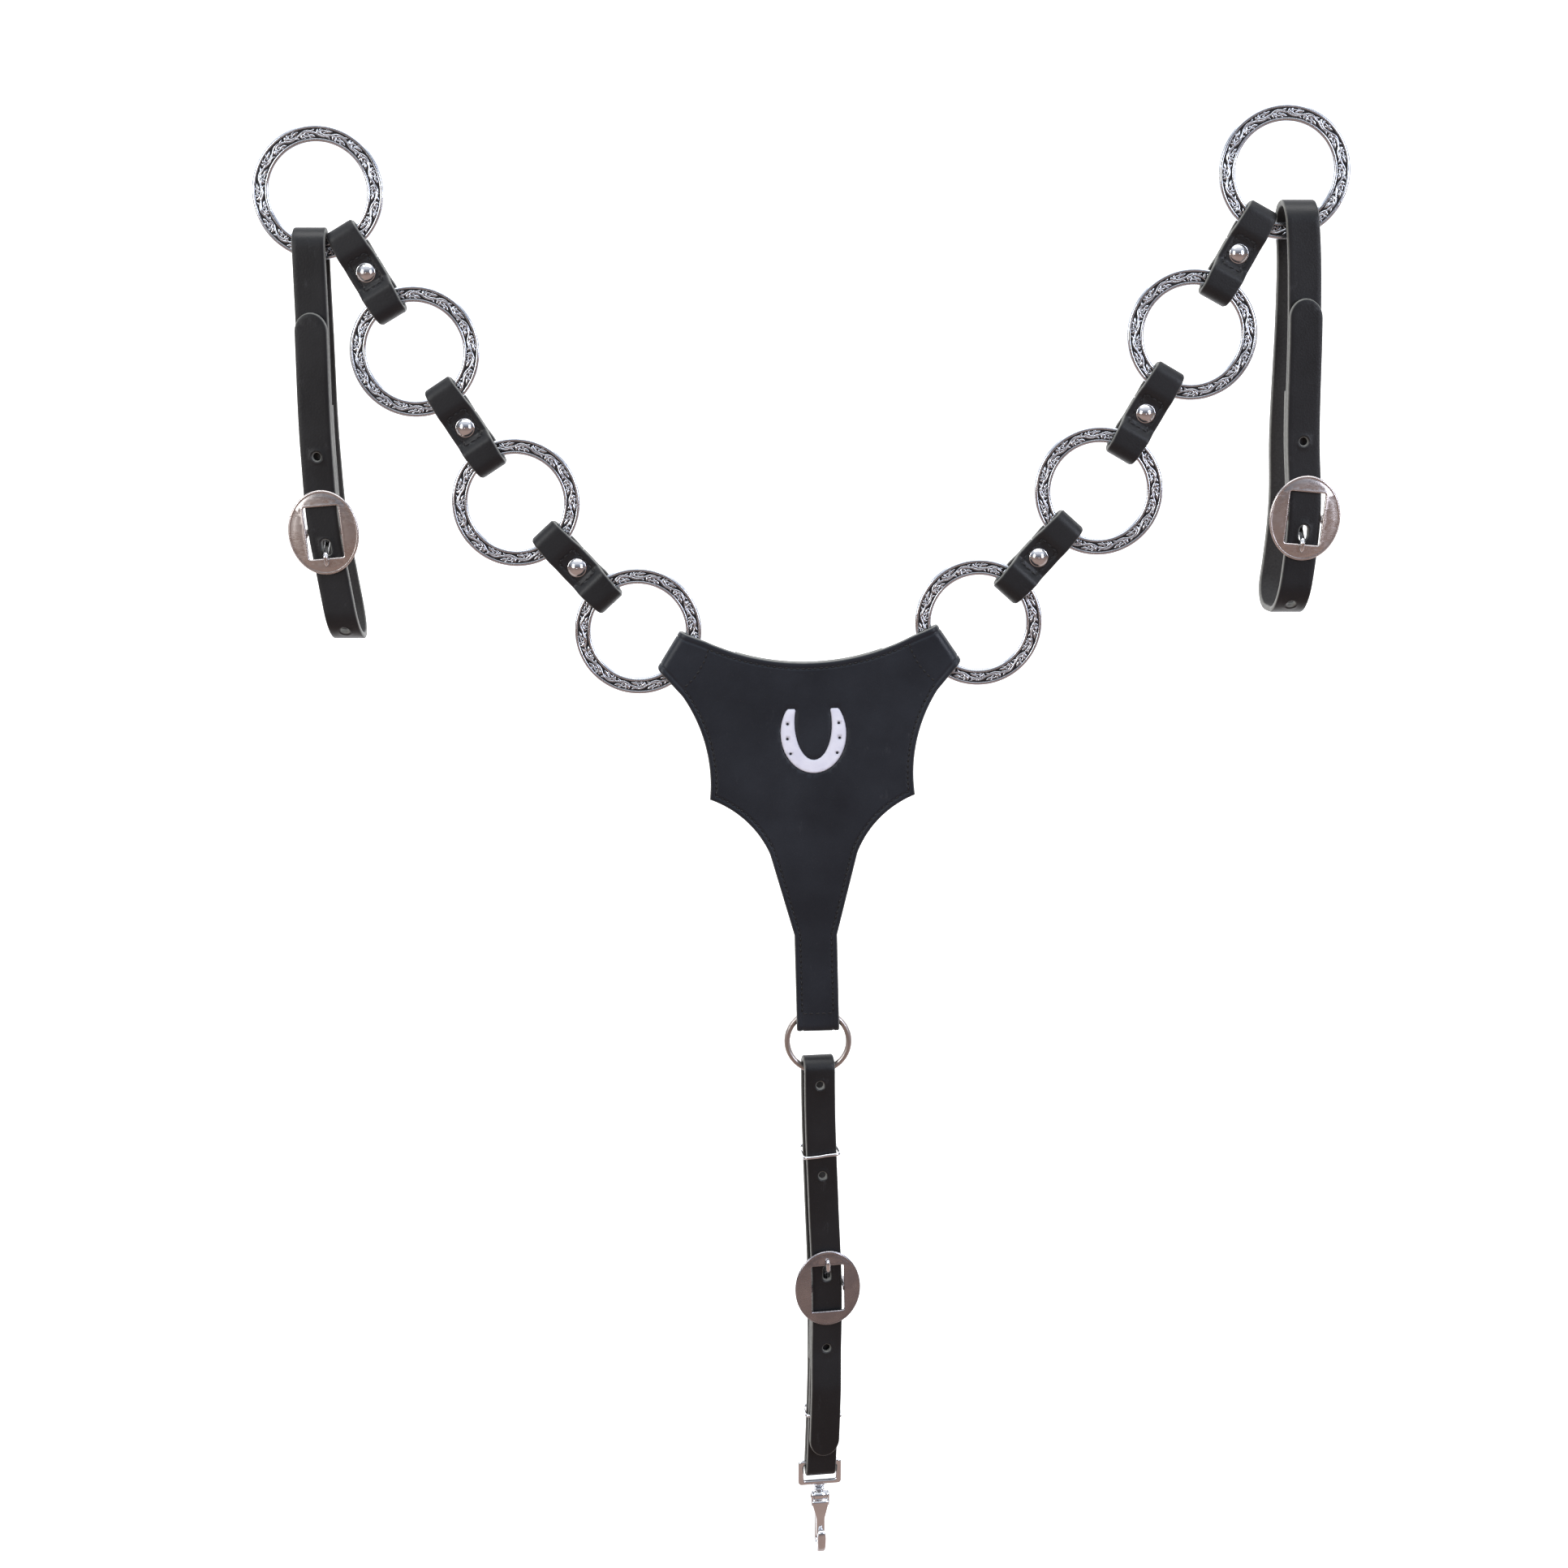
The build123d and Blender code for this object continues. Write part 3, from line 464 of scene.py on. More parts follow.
def stitch_line(shape, points, place, depth, pitch=3.4, gap=0.9, radius=0.42):
    """Stitches along flat points, put in space as the sheet is."""
    p = np.array(points, float)
    along = np.concatenate([[0], np.cumsum(np.linalg.norm(np.diff(p, axis=0), axis=1))])
    count = max(1, int(along[-1] / pitch))
    step = along[-1] / count

    def flat(s):
        return [float(np.interp(s, along, p[:, i])) for i in (0, 1)]

    for k in range(count):
        u0, v0 = flat(k * step + gap / 2)
        u1, v1 = flat((k + 1) * step - gap / 2)
        a, b = place(u0, v0, depth), place(u1, v1, depth)
        above = place((u0 + u1) / 2, (v0 + v1) / 2, depth + 1.0)
        below = place((u0 + u1) / 2, (v0 + v1) / 2, depth)
        stitch(shape, a, b, Vector(above) - Vector(below), radius)


# ---- materials ----
class Nodes:
    """A node tree, with short calls for the few kinds of node used here."""

    def __init__(self, tree, coordinates):
        self.tree = tree
        self.coordinates = self.node("ShaderNodeTexCoord").outputs[coordinates]

    def node(self, kind, **settings):
        made = self.tree.nodes.new(kind)
        for key, value in settings.items():
            if key in made.bl_rna.properties:
                setattr(made, key, value)
            else:
                made.inputs[key.replace("_", " ")].default_value = value
        return made

    def link(self, source, node, socket):
        self.tree.links.new(source, node.inputs[socket])
        return node

    def noise(self, scale, detail=4.0, roughness=0.55, stretch=None):
        made = self.node("ShaderNodeTexNoise", Scale=scale, Detail=detail, Roughness=roughness)
        place = self.coordinates
        if stretch:
            mapping = self.node("ShaderNodeMapping", Scale=stretch)
            place = self.link(place, mapping, "Vector").outputs["Vector"]
        self.link(place, made, "Vector")
        return made.outputs["Fac"]

    def cells(self, scale):
        made = self.node("ShaderNodeTexVoronoi", feature="SMOOTH_F1", Scale=scale, Smoothness=0.6)
        return self.link(self.coordinates, made, "Vector").outputs["Distance"]

    def mark(self, name):
        return self.node("ShaderNodeAttribute", attribute_name=name).outputs["Fac"]

    def spread(self, value, low, high, out_low=0.0, out_high=1.0):
        made = self.node("ShaderNodeMapRange", From_Min=low, From_Max=high, To_Min=out_low, To_Max=out_high)
        return self.link(value, made, "Value").outputs["Result"]

    def mix(self, factor, a, b):
        """Two colours or numbers mixed by a factor."""
        colour = isinstance(a, tuple) or getattr(a, "type", "") == "RGBA"
        made = self.node("ShaderNodeMix", data_type="RGBA" if colour else "FLOAT")
        kind = "Color" if colour else "Float"
        sockets = {s.identifier: s for s in made.inputs}
        for key, value in (("Factor_Float", factor), ("A_" + kind, a), ("B_" + kind, b)):
            self.give(value, sockets[key])
        return {s.identifier: s for s in made.outputs}["Result_" + kind]

    def give(self, value, socket):
        """Sets a socket to a colour or a number, or links it to another node's output."""
        if isinstance(value, tuple):
            socket.default_value = (*value, 1.0)
        elif isinstance(value, (int, float)):
            socket.default_value = value
        else:
            self.tree.links.new(value, socket)

    def bump(self, height, strength, distance, before=None):
        made = self.node("ShaderNodeBump", Strength=strength, Distance=distance)
        self.link(height, made, "Height")
        if before is not None:
            self.link(before, made, "Normal")
        return made.outputs["Normal"]


class Paint(Nodes):
    """A material, painted in its object's own coordinates."""

    def __init__(self, name):
        self.material = bpy.data.materials.new(name)
        self.material.use_nodes = True
        super().__init__(self.material.node_tree, "Object")

    def finish(self, **sockets):
        for key, value in sockets.items():
            self.give(value, self.tree.nodes["Principled BSDF"].inputs[key.replace("_", " ")])
        return self.material


def leather(name, dark, light, gloss=0.40):
    """Black harness leather: pressed grain, paler cut edges and a rough flesh side. The cut edges' pale tone
    is partly the edge's own colour and partly a painted highlight of the bright room along the rounded edges.
    """
    paint = Paint(name)
    patches = paint.spread(paint.noise(22.0, 5.0), 0.35, 0.65)
    face = paint.mix(patches, dark, light)
    scuffs = paint.spread(paint.noise(160.0, 6.0, 0.7, (1.0, 1.0, 0.35)), 0.62, 0.78, 0.0, 0.35)
    face = paint.mix(scuffs, face, (0.075, 0.079, 0.088))
    fibres = paint.noise(900.0, 4.0, 0.7)
    flesh_colour = paint.mix(fibres, (0.012, 0.012, 0.013), (0.050, 0.049, 0.047))
    # paler cut edges: partly the cut leather's own colour, partly a painted highlight standing in for the
    # bright rim that rounded edges catch
    cut_edge_and_highlight_colour = paint.mix(paint.noise(420.0, 3.0), (0.10, 0.103, 0.097), (0.26, 0.265, 0.25))
    edge = paint.spread(paint.mark("edge"), 0.15, 0.85)
    flesh = paint.spread(paint.mark("flesh"), 0.55, 0.95)
    colour = paint.mix(flesh, face, flesh_colour)
    colour = paint.mix(edge, colour, cut_edge_and_highlight_colour)
    rough = paint.mix(patches, gloss, gloss + 0.10)
    rough = paint.mix(flesh, rough, 0.92)
    rough = paint.mix(edge, rough, 0.55)
    grain = paint.bump(paint.cells(1100.0), 0.22, 0.00022)
    grain = paint.bump(paint.noise(2600.0, 3.0), 0.16, 0.00012, grain)
    grain = paint.bump(paint.noise(90.0, 3.0), 0.10, 0.0008, grain)
    return paint.finish(Base_Color=colour, Roughness=rough, Normal=grain, Specular_IOR_Level=0.36,
                        Sheen_Weight=0.03, Sheen_Roughness=0.4)


def thread():
    paint = Paint("waxed_thread_with_painted_shade")
    wave = paint.node("ShaderNodeTexWave", Scale=900.0, Distortion=1.5)
    twist = paint.link(paint.coordinates, wave, "Vector").outputs["Fac"]
    # near-black, darker than the leather: partly the black thread's own colour, partly painted shade standing
    # in for the dark sunk stitch holes
    colour = paint.mix(paint.noise(300.0), (0.003, 0.003, 0.004), (0.010, 0.010, 0.012))
    return paint.finish(Base_Color=colour, Roughness=paint.mix(twist, 0.45, 0.65),
                        Normal=paint.bump(twist, 0.5, 0.0002))


def steel(name, bright, dull, low, high, scratch=0.10, stretch=(1.0, 1.0, 1.0), grime=None):
    """Metal with fine scratches, drifting polish and, where marked, a blackened ground."""
    paint = Paint(name)
    drift = paint.spread(paint.noise(60.0, 4.0), 0.3, 0.7)
    colour = paint.mix(drift, bright, dull)
    lines = paint.noise(1500.0, 5.0, 0.7, stretch)
    rough = paint.mix(drift, low, high)
    rough = paint.mix(paint.spread(lines, 0.45, 0.75), rough, high + 0.08)
    metal = 1.0
    if grime:
        ground = paint.mark("ground")
        colour = paint.mix(ground, colour, grime)
        rough = paint.mix(ground, rough, 0.55)
        metal = paint.spread(ground, 0.0, 1.0, 1.0, 0.35)
    normal = paint.bump(lines, scratch, 0.00008)
    return paint.finish(Base_Color=colour, Roughness=rough, Metallic=metal, Normal=normal)


def inlay_paint():
    paint = Paint("white_inlay")
    patches = paint.spread(paint.noise(120.0, 4.0), 0.35, 0.65)
    colour = paint.mix(patches, (0.66, 0.68, 0.80), (0.74, 0.76, 0.86))
    colour = paint.mix(paint.mark("edge"), colour, (0.42, 0.43, 0.50))
    normal = paint.bump(paint.cells(1300.0), 0.12, 0.0001)
    return paint.finish(Base_Color=colour, Roughness=paint.mix(patches, 0.42, 0.55), Normal=normal)


LEATHER = leather("black_leather", (0.0075, 0.0105, 0.0160), (0.0125, 0.0165, 0.0240))
STRAP_LEATHER = leather("strap_leather", (0.0050, 0.0056, 0.0070), (0.0085, 0.0094, 0.0114), 0.38)
THREAD = thread()
RING_STEEL = steel("engraved_steel", (0.66, 0.70, 0.76), (0.50, 0.53, 0.58), 0.12, 0.26,
                   grime=(0.006, 0.006, 0.008))
POLISHED = steel("polished_steel", (0.76, 0.78, 0.81), (0.64, 0.65, 0.68), 0.07, 0.16)
BRUSHED = (0.2, 1.0, 1.0)
SATIN = steel("satin_steel", (0.62, 0.58, 0.57), (0.50, 0.46, 0.45), 0.20, 0.32, 0.22, BRUSHED)
DARK_STEEL = steel("dark_steel", (0.38, 0.37, 0.39), (0.27, 0.26, 0.28), 0.18, 0.30, 0.22, BRUSHED)
DULL = steel("dull_steel", (0.50, 0.46, 0.44), (0.34, 0.31, 0.30), 0.28, 0.42, 0.2)
INLAY = inlay_paint()


# ---- engraved rings ----
CHANNEL_DEPTH = 0.45
RIM_WIDTH = 1.9
WAVES = 11                 # S-turns of the vine round a ring


def ring_body():
    """Flat band ring: two bright rims and a sunk, blackened channel on each face."""
    half, corner, steps, segments = RING_THICK / 2, 1.4, 8, 144
    outer, inner, high = RING_R - corner, RING_HOLE_R + corner, half - corner
    profile, ground = [], []
    for turn, (r, y) in enumerate([(outer, high), (inner, high), (inner, -high), (outer, -high)]):
        for k in range(steps + 1):
            angle = radians(90 * turn + 90 * k / steps)
            profile.append((r + corner * cos(angle), y + corner * sin(angle)))
            ground.append(0.0)
        if turn in (0, 2):
            side = 1 - turn
            face, step = side * half, side * 0.1
            sunk = face * (1 - CHANNEL_DEPTH / half)
            start, end = (RING_R - RIM_WIDTH, RING_HOLE_R + RIM_WIDTH)[::side]
            floor = [start + step / 2, start, start - step, start - 3 * step,
                     end + 3 * step, end + step, end, end - step / 2]
            profile += zip(floor, [face, face * 0.96, sunk, sunk, sunk, sunk, face * 0.96, face])
            ground += [0.0, 0.5, 1.0, 1.0, 1.0, 1.0, 0.5, 0.0]
    return Shape().add(*lathe(profile, segments), ground=ground * segments)


def smooth_line(points, per_span=5):
    """A Catmull-Rom curve through points of any number of values."""
    p = [np.array(q, float) for q in points]
    p = [2 * p[0] - p[1]] + p + [2 * p[-1] - p[-2]]
    out = []
    for a, b, c, d in zip(p, p[1:], p[2:], p[3:]):
        for k in range(per_span):
            t = k / per_span
            out.append(0.5 * (2 * b + (c - a) * t + (2 * a - 5 * b + 4 * c - d) * t * t
                              + (3 * b - a - 3 * c + d) * t ** 3))
    out.append(p[-2])
    return out


# one crest of the vine, in millimetres along and across the band, with each point's width
SCROLL = [(-4.9, -0.25, 0.35), (-3.1, 0.2, 0.85), (-1.3, 0.75, 1.15), (0.6, 0.62, 1.2), (1.75, -0.3, 1.1),
          (1.2, -1.45, 0.9), (-0.2, -1.65, 0.85), (-1.05, -1.0, 0.75), (-0.5, -0.3, 0.85), (0.2, -0.6, 1.1)]
LEAVES = [
    [(1.5, -0.3, 0.4), (2.7, -0.5, 1.4), (3.6, -1.3, 1.5), (3.3, -2.6, 0.1)],
    [(2.4, -0.2, 0.4), (3.6, -0.1, 0.9), (4.6, -0.9, 0.1)],
    [(-0.6, -1.4, 0.4), (-2.0, -1.2, 1.35), (-3.3, -1.6, 1.4), (-4.7, -2.1, 0.1)],
    [(-1.9, 1.3, 0.4), (-3.1, 1.6, 1.1), (-4.3, 2.4, 0.1)],
    [(1.8, -1.1, 0.4), (2.1, -2.0, 1.1), (1.2, -2.6, 0.1)],
    [(-1.0, -1.6, 0.4), (-1.4, -2.2, 1.0), (-2.5, -2.65, 0.1)],
]
VINE_REACH = 1.6
RELIEF = 0.38


def ribbon(shape, line, face):
    """A raised rounded ribbon on the channel's floor; line holds (angle, radius, width)."""
    floor = RING_THICK / 2 - CHANNEL_DEPTH
    section = [(-0.5, -0.05), (-0.42, 0.64), (0.0, 1.0), (0.42, 0.64), (0.5, -0.05)]
    flat = [(r * cos(a), r * sin(a)) for a, r, _ in line]
    verts = []
    for i, (x, z) in enumerate(flat):
        x0, z0 = flat[max(i - 1, 0)]
        x1, z1 = flat[min(i + 1, len(flat) - 1)]
        size = hypot(x1 - x0, z1 - z0) or 1.0
        nx, nz = -(z1 - z0) / size, (x1 - x0) / size
        width = max(line[i][2], 0.06)
        height = RELIEF * min(1.0, 0.35 + width)
        for across, up in section:
            verts.append((x + nx * width * across, face * (floor + height * up), z + nz * width * across))
    ground = [0.75, 0.0, 0.0, 0.0, 0.75] * len(flat)
    shape.add(verts, tube_faces(len(flat), len(section)), ground=ground)


def ring_scroll():
    """Running vine with a curled shoot and leaves at every crest, on both faces."""
    shape = Shape()
    steps = WAVES * 24
    angles = [2 * pi * i / steps for i in range(steps + 1)]
    vine = [(angle, BAND_MID_R + VINE_REACH * cos(WAVES * angle), 0.95 + 0.15 * sin(2 * WAVES * angle))
            for angle in angles]
    for face in (-1, 1):
        ribbon(shape, vine, face)
        for crest in range(2 * WAVES):
            centre = pi * crest / WAVES
            sign = 1 if crest % 2 == 0 else -1
            for strand in [SCROLL] + LEAVES:
                line = smooth_line(strand)
                ribbon(shape, [(centre + p / BAND_MID_R, BAND_MID_R + sign * q, w) for p, q, w in line], face)
    return shape


def make_rings():
    ring = solid("engraved_ring", ring_body().merge(ring_scroll()), RING_STEEL)
    for side in SIDES:
        for number in range(1, 5):
            node = f"{side}_ring_{number}"
            x, z = ring_centre(side, number)
            place = Matrix.Translation((x * MM, 0, z * MM)) @ Matrix.Rotation(radians(90 * number), 4, "Y")
            add_piece(node + "_steel", ring, node, node, place)


# ---- the shield ----
class Yoke:
    """The shield's own upright frame, hung a little off level."""

    def __init__(self):
        left, right = Vector(ring_centre("left", 1)), Vector(ring_centre("right", 1))
        self.middle = (left + right) / 2
        self.angle = np.arctan2(right.y - left.y, right.x - left.x)

    def put(self, x, y, z):
        z -= FIRST_RING[1]
        c, s = cos(self.angle), sin(self.angle)
        return self.middle.x + x * c - z * s, y, self.middle.y + x * s + z * c


YOKE = Yoke()
FOLD_MID = PANEL * 1.5
TAB_MID = 0.2 - PANEL / 2
# where the flat shield ends and its bent wings and neck start, and how far off a wing's line it counts
WING_LIFT, NECK_LIFT = 58.0, -140.0
WING_ZONE = 60.0
WING_TURN, NECK_TURN = WING_FOLD + PANEL / 2, NECK_END + PANEL / 2
FOLD_RADII = [3.4, 3.4, 6, 6]
WING_BEND = Bend([(WING_LIFT, -FOLD_MID), (WING_TURN, -FOLD_MID), (WING_TURN, FOLD_MID),
                  (39.5, FOLD_MID), (47, TAB_MID), (54, TAB_MID)], FOLD_RADII, 1)
NECK_BEND = Bend([(-FOLD_MID, NECK_LIFT), (-FOLD_MID, NECK_TURN), (FOLD_MID, NECK_TURN),
                  (FOLD_MID, -170.5), (TAB_MID, -163), (TAB_MID, -153)], FOLD_RADII, -1)


def wing_coordinates(x, z):
    """Distance from the first ring's centre towards the shield, and across the wing."""
    c, s = cos(radians(WING_ANGLE)), sin(radians(WING_ANGLE))
    dx, dz = FIRST_RING[0] - abs(x), FIRST_RING[1] - z
    return dx * c + dz * s, dx * s - dz * c


def wing_point(sign, along, across):
    c, s = cos(radians(WING_ANGLE)), sin(radians(WING_ANGLE))
    return sign * (FIRST_RING[0] - along * c - across * s), FIRST_RING[1] - along * s + across * c


def yoke_place(x, z, depth):
    """Puts a point of the flat shield in space; its wings and neck bend round their rings."""
    along, across = wing_coordinates(x, z)
    if z > -WING_ZONE and along < WING_LIFT and abs(across) < WING_ZONE:
        u, y = WING_BEND.at(WING_LIFT - along, depth)
        x, z = wing_point(1 if x > 0 else -1, u, across)
        return YOKE.put(x, y, z)
    if z < NECK_LIFT:
        y, z = NECK_BEND.at(NECK_LIFT - z, depth)
        return YOKE.put(x, y, z)
    return YOKE.put(x, -FOLD_MID - depth, z)


NECK_TOP = -127.0                             # where the neck's parallel sides start
WING_FLAT = WING_BEND.length - WING_LIFT      # how far past the ring's centre the unbent wing reaches
NECK_FLAT = NECK_LIFT - NECK_BEND.length
COLLAR_END = (61.0, 53.8)
COLLAR_DIP = 39.6
SIDE = [(75.5, 21.0), (62.8, -9.5), (61.3, -41.9)]
WAIST = [(61.3, -41.9), (41.6, -54.2), (26.3, -76.5)]


def half_outline(fold_only=False):
    """Right half of the flat shield, from the neck's end up to the collar, counter-clockwise."""
    half = WING_WIDTH / 2
    reach = WING_FOLD if fold_only else -WING_FLAT
    wing_low = wing_point(1, WING_FOLD, -half)
    wing_top = wing_point(1, WING_FOLD, half)
    low_end, top_end = wing_point(1, reach, -half), wing_point(1, reach, half)
    neck_end = NECK_END if fold_only else NECK_FLAT
    points = run((NECK_WIDTH / 2, neck_end), (NECK_WIDTH / 2, NECK_TOP), 0.9)
    points += run((NECK_WIDTH / 2, NECK_TOP), WAIST[2], 3)
    points += arc_through(WAIST[2], WAIST[1], WAIST[0], 22)
    points += arc_through(SIDE[2], SIDE[1], SIDE[0], 22)
    points += run(SIDE[0], wing_low, 1.2)
    points += run(wing_low, low_end, 0.9) + run(low_end, top_end, 2.6) + run(top_end, wing_top, 0.9)
    points += run(wing_top, COLLAR_END, 1.2)
    points += arc_through(COLLAR_END, (0, COLLAR_DIP), (-COLLAR_END[0], COLLAR_END[1]), 60)[:30]
    return points


def yoke_outline(fold_only=False):
    right = half_outline(fold_only)
    left = [(-x, z) for x, z in reversed(right)]
    neck_end = NECK_END if fold_only else NECK_FLAT
    foot = run((-NECK_WIDTH / 2, neck_end), (NECK_WIDTH / 2, neck_end), 2.6)[1:]
    return right + [(0, COLLAR_DIP)] + left + foot


# the horseshoe's outer and inner curves, each as half width, half height and middle height
SHOE_OUTER, SHOE_INNER = (19.5, 24, -2), (11, 22, 4)
SHOE_TOP, HEEL_ROUND = 13.0, 1.0
SHOE_PLACE = (1.5, -1.0)


def shoe_curve(half_width, half_height, middle, count, way):
    """A curve of the horseshoe from one heel round to the other, counter-clockwise when way is 1."""
    start = np.arcsin((SHOE_TOP - HEEL_ROUND - middle) / half_height)
    first = pi - start if way > 0 else start
    angles = [first + way * (pi + 2 * start) * k / count for k in range(count + 1)]
    return [(half_width * cos(angle), middle + half_height * sin(angle)) for angle in angles]


def horseshoe():
    """Outline of the plain horseshoe in the middle of the shield, counter-clockwise."""
    heel = [(14.7, SHOE_TOP), (10.9, SHOE_TOP)]
    points = shoe_curve(*SHOE_OUTER, 44, 1) + heel
    points += shoe_curve(*SHOE_INNER, 38, -1) + [(-x, z) for x, z in reversed(heel)]
    return [(x + SHOE_PLACE[0], z + SHOE_PLACE[1]) for x, z in points]


def yoke_rows():
    """Points inside the flat shield, closer together where it bends."""
    rows = []
    for i in range(-32, 33):
        for k in range(-64, 28):
            x, z = i * 3.1, k * 3.1 + (i % 2) * 0.4
            along, _ = wing_coordinates(x, z)
            if along > WING_LIFT - 4 and z > NECK_LIFT + 3:
                rows.append((x, z))
    for s in WING_BEND.rows:
        for c in range(-7, 8):
            rows += [wing_point(sign, WING_LIFT - s, c * 2.9) for sign in (-1, 1)]
    for s in NECK_BEND.rows:
        rows += [(c * 3.2, NECK_LIFT - s) for c in range(-3, 4)]
    return rows


# the stitch line's distance from the edge, the sunk groove about it as distances and depths, and
# where the lines across the wings and the neck run
STITCH_INSET = 3.6
STITCH_GROOVE = [(2.7, -0.04), (3.2, 0.3), (4.0, 0.3), (4.5, -0.06), (5.2, 0.0)]
WING_ARC_R = 44.0
WING_STITCH, NECK_STITCH = 40.0, -176.0


def edge_stitches(outline):
    """The stitch line inside the shield's edge, in runs that stop where the wings and neck fold."""
    runs, current = [], []
    for x, z in inset(outline, STITCH_INSET):
        along, _ = wing_coordinates(x, z)
        if along > WING_STITCH and z > NECK_STITCH:
            current.append((x, z))
        elif current:
            runs.append(current)
            current = []
    if current:
        runs[0] = current + runs[0] if runs else current
    return runs


def cross_stitches():
    """Stitch lines across each wing and across the neck."""
    lines = [[(-9.4, NECK_STITCH), (9.4, NECK_STITCH)]]
    for sign in (-1, 1):
        line = []
        for k in range(-8, 9):
            angle = radians(k * 2.3)
            line.append(wing_point(sign, WING_ARC_R * cos(angle) - 1.5, WING_ARC_R * sin(angle)))
        lines.append(line)
    return lines


def make_yoke():
    outline = yoke_outline()
    shoe = horseshoe()
    creases = [(inset(shoe, -0.35), 0.45), (inset(shoe, -0.9), 0.0), (inset(shoe, 0.5), 0.45)]
    face = sheet(outline, [], yoke_rows(), PANEL, yoke_place, EDGE_ROUNDING + STITCH_GROOVE, extra=creases)
    add_shape("yoke_face_leather", face, "yoke", LEATHER, "yoke_face")
    sewing = Shape()
    for lines, depth in ((edge_stitches(outline), -0.2), (cross_stitches(), -0.04)):
        for line in lines:
            stitch_line(sewing, line, yoke_place, PANEL / 2 + depth, 3.4, 1.0, 0.46)
    for line in edge_stitches(outline):
        stitch_line(sewing, line, lambda x, z, d: YOKE.put(x, d, z), 0.02)
    add_shape("yoke_stitching", sewing, "yoke", THREAD)
    make_lining()
    make_inlay(shoe)


def make_lining():
    """Back layer of the shield, which stops short of the turned-back tabs."""
    def flat(x, z, depth):
        return YOKE.put(x, -PANEL / 2 + depth, z)

    stop, foot = 55.2, -152.3
    points = []
    for x, z in yoke_outline(True):
        along, across = wing_coordinates(x, z)
        if along < stop:
            x, z = wing_point(1 if x > 0 else -1, stop, across)
        points.append((x, max(z, foot)))
    outline = [points[0]]
    for point in points[1:]:
        if hypot(point[0] - outline[-1][0], point[1] - outline[-1][1]) > 0.4:
            outline.append(point)
    rows = [(i * 4.0, k * 4.0) for i in range(-20, 21) for k in range(-40, 16)]
    lining = sheet(outline, [], rows, PANEL, flat)
    add_shape("yoke_lining_leather", lining, "yoke", LEATHER, "yoke_lining")


def make_inlay(shoe):
    """The inlaid horseshoe, with three nail holes down the middle of each branch."""
    holes = []
    for sign in (-1, 1):
        for height in (-14.0, -5.0, 4.0):
            width = 15.6 * sqrt(1 - ((height + 2) / 26) ** 2)
            holes.append(circle(SHOE_PLACE[0] + sign * width, height + SHOE_PLACE[1], 0.75, 12))

    def flat(x, z, depth):
        return YOKE.put(x, -2 * PANEL + 0.25 - depth, z)

    rows = [(i * 1.7, k * 1.7) for i in range(-13, 14) for k in range(-16, 13)]
    edges = [(0.1, 0.4), (0.3, 0.15), (0.7, 0.0)]
    inlay = sheet(shoe, holes, rows, 1.5, flat, edges, [(0.05, 0.3), (0.25, 0.0)])
    add_shape("yoke_inlay_leather", inlay, "yoke", INLAY, "yoke_inlay")


# ---- links ----
LINK_START = RING_HOLE_R - 6.1                # from the inner ring's centre to the link's near end
LINK_END = LINK_PITCH - LINK_START
LINK_HALF = 10.2                              # half the link's width at its middle
LINK_BOX = (10.2, 5.9)                        # half the length and width of the stitched box


def link_half_width(x):
    """Half the link's width at a distance from the inner ring's centre: barrel-shaped, with cut corners."""
    t = (2 * x - LINK_PITCH) / (LINK_END - LINK_START)
    reach = min(x - LINK_START, LINK_END - x)
    return LINK_HALF - 1.5 * t * t - max(0.0, 2.4 - reach) * 0.9


def link_bend():
    """The link's strip from its butt joint behind, round the inner ring, over the front and back."""
    half = LINK_THICK / 2
    start, end = LINK_START + half, LINK_END - half
    wide, tight = 4.5 + half, 3.0 + half
    middle, flat = LINK_PITCH / 2, half + PLY_GAP / 2
    joint, pressed, parted = middle + 5.0, 7.4, 13.2
    path = [(joint - 0.25, flat), (middle - pressed, flat), (middle - parted, wide), (start, wide),
            (start, -wide), (middle - parted, -wide), (middle - pressed, -flat), (middle + pressed, -flat),
            (middle + parted, -tight), (end, -tight), (end, tight), (middle + parted, tight),
            (middle + pressed, flat), (joint + 0.25, flat)]
    radii = [4, 4, wide - 0.1, wide - 0.1, 4, 4, 5, 5, tight - 0.1, tight - 0.1, 5, 4]
    return Bend(path, radii, -1, 3.0)


def link_shapes():
    """The leather strip of a link and the stitched box round its rivet."""
    bend = link_bend()

    def place(s, w, depth):
        x, y = bend.at(s, depth)
        return x, y, w

    outline = strap_outline(bend, 10.0, width=lambda s: link_half_width(bend.at(s)[0]))
    middle = bend.length_to(lambda x, y: y < -1 and x >= LINK_PITCH / 2)
    along, across = LINK_BOX
    near, far = middle - along, middle + along
    box = [(near, -across), (far, -across), (far, across), (near, across)]
    loop = dense(box, 1.7)
    creases = [(inset(loop, distance), depth)
               for distance, depth in ((-0.75, 0.0), (-0.3, 0.32), (0.3, 0.32), (0.8, -0.12))]
    clear = 1.3
    rows = [(s, v) for s, v in strap_rows(bend, 10.1, (-0.78, -0.45, -0.15, 0.15, 0.45, 0.78))
            if abs(max(abs(s - middle) - along, abs(v) - across)) > clear]
    strap = sheet(outline, [], rows, LINK_THICK, place, extra=creases)
    sewing = Shape()
    for a, b in zip(box, box[1:] + box[:1]):
        stitch_line(sewing, [a, b], place, LINK_THICK / 2 - 0.22, 3.4, 0.8, 0.55)
    return strap, sewing


RIVET_BASE = LINK_THICK + PLY_GAP / 2


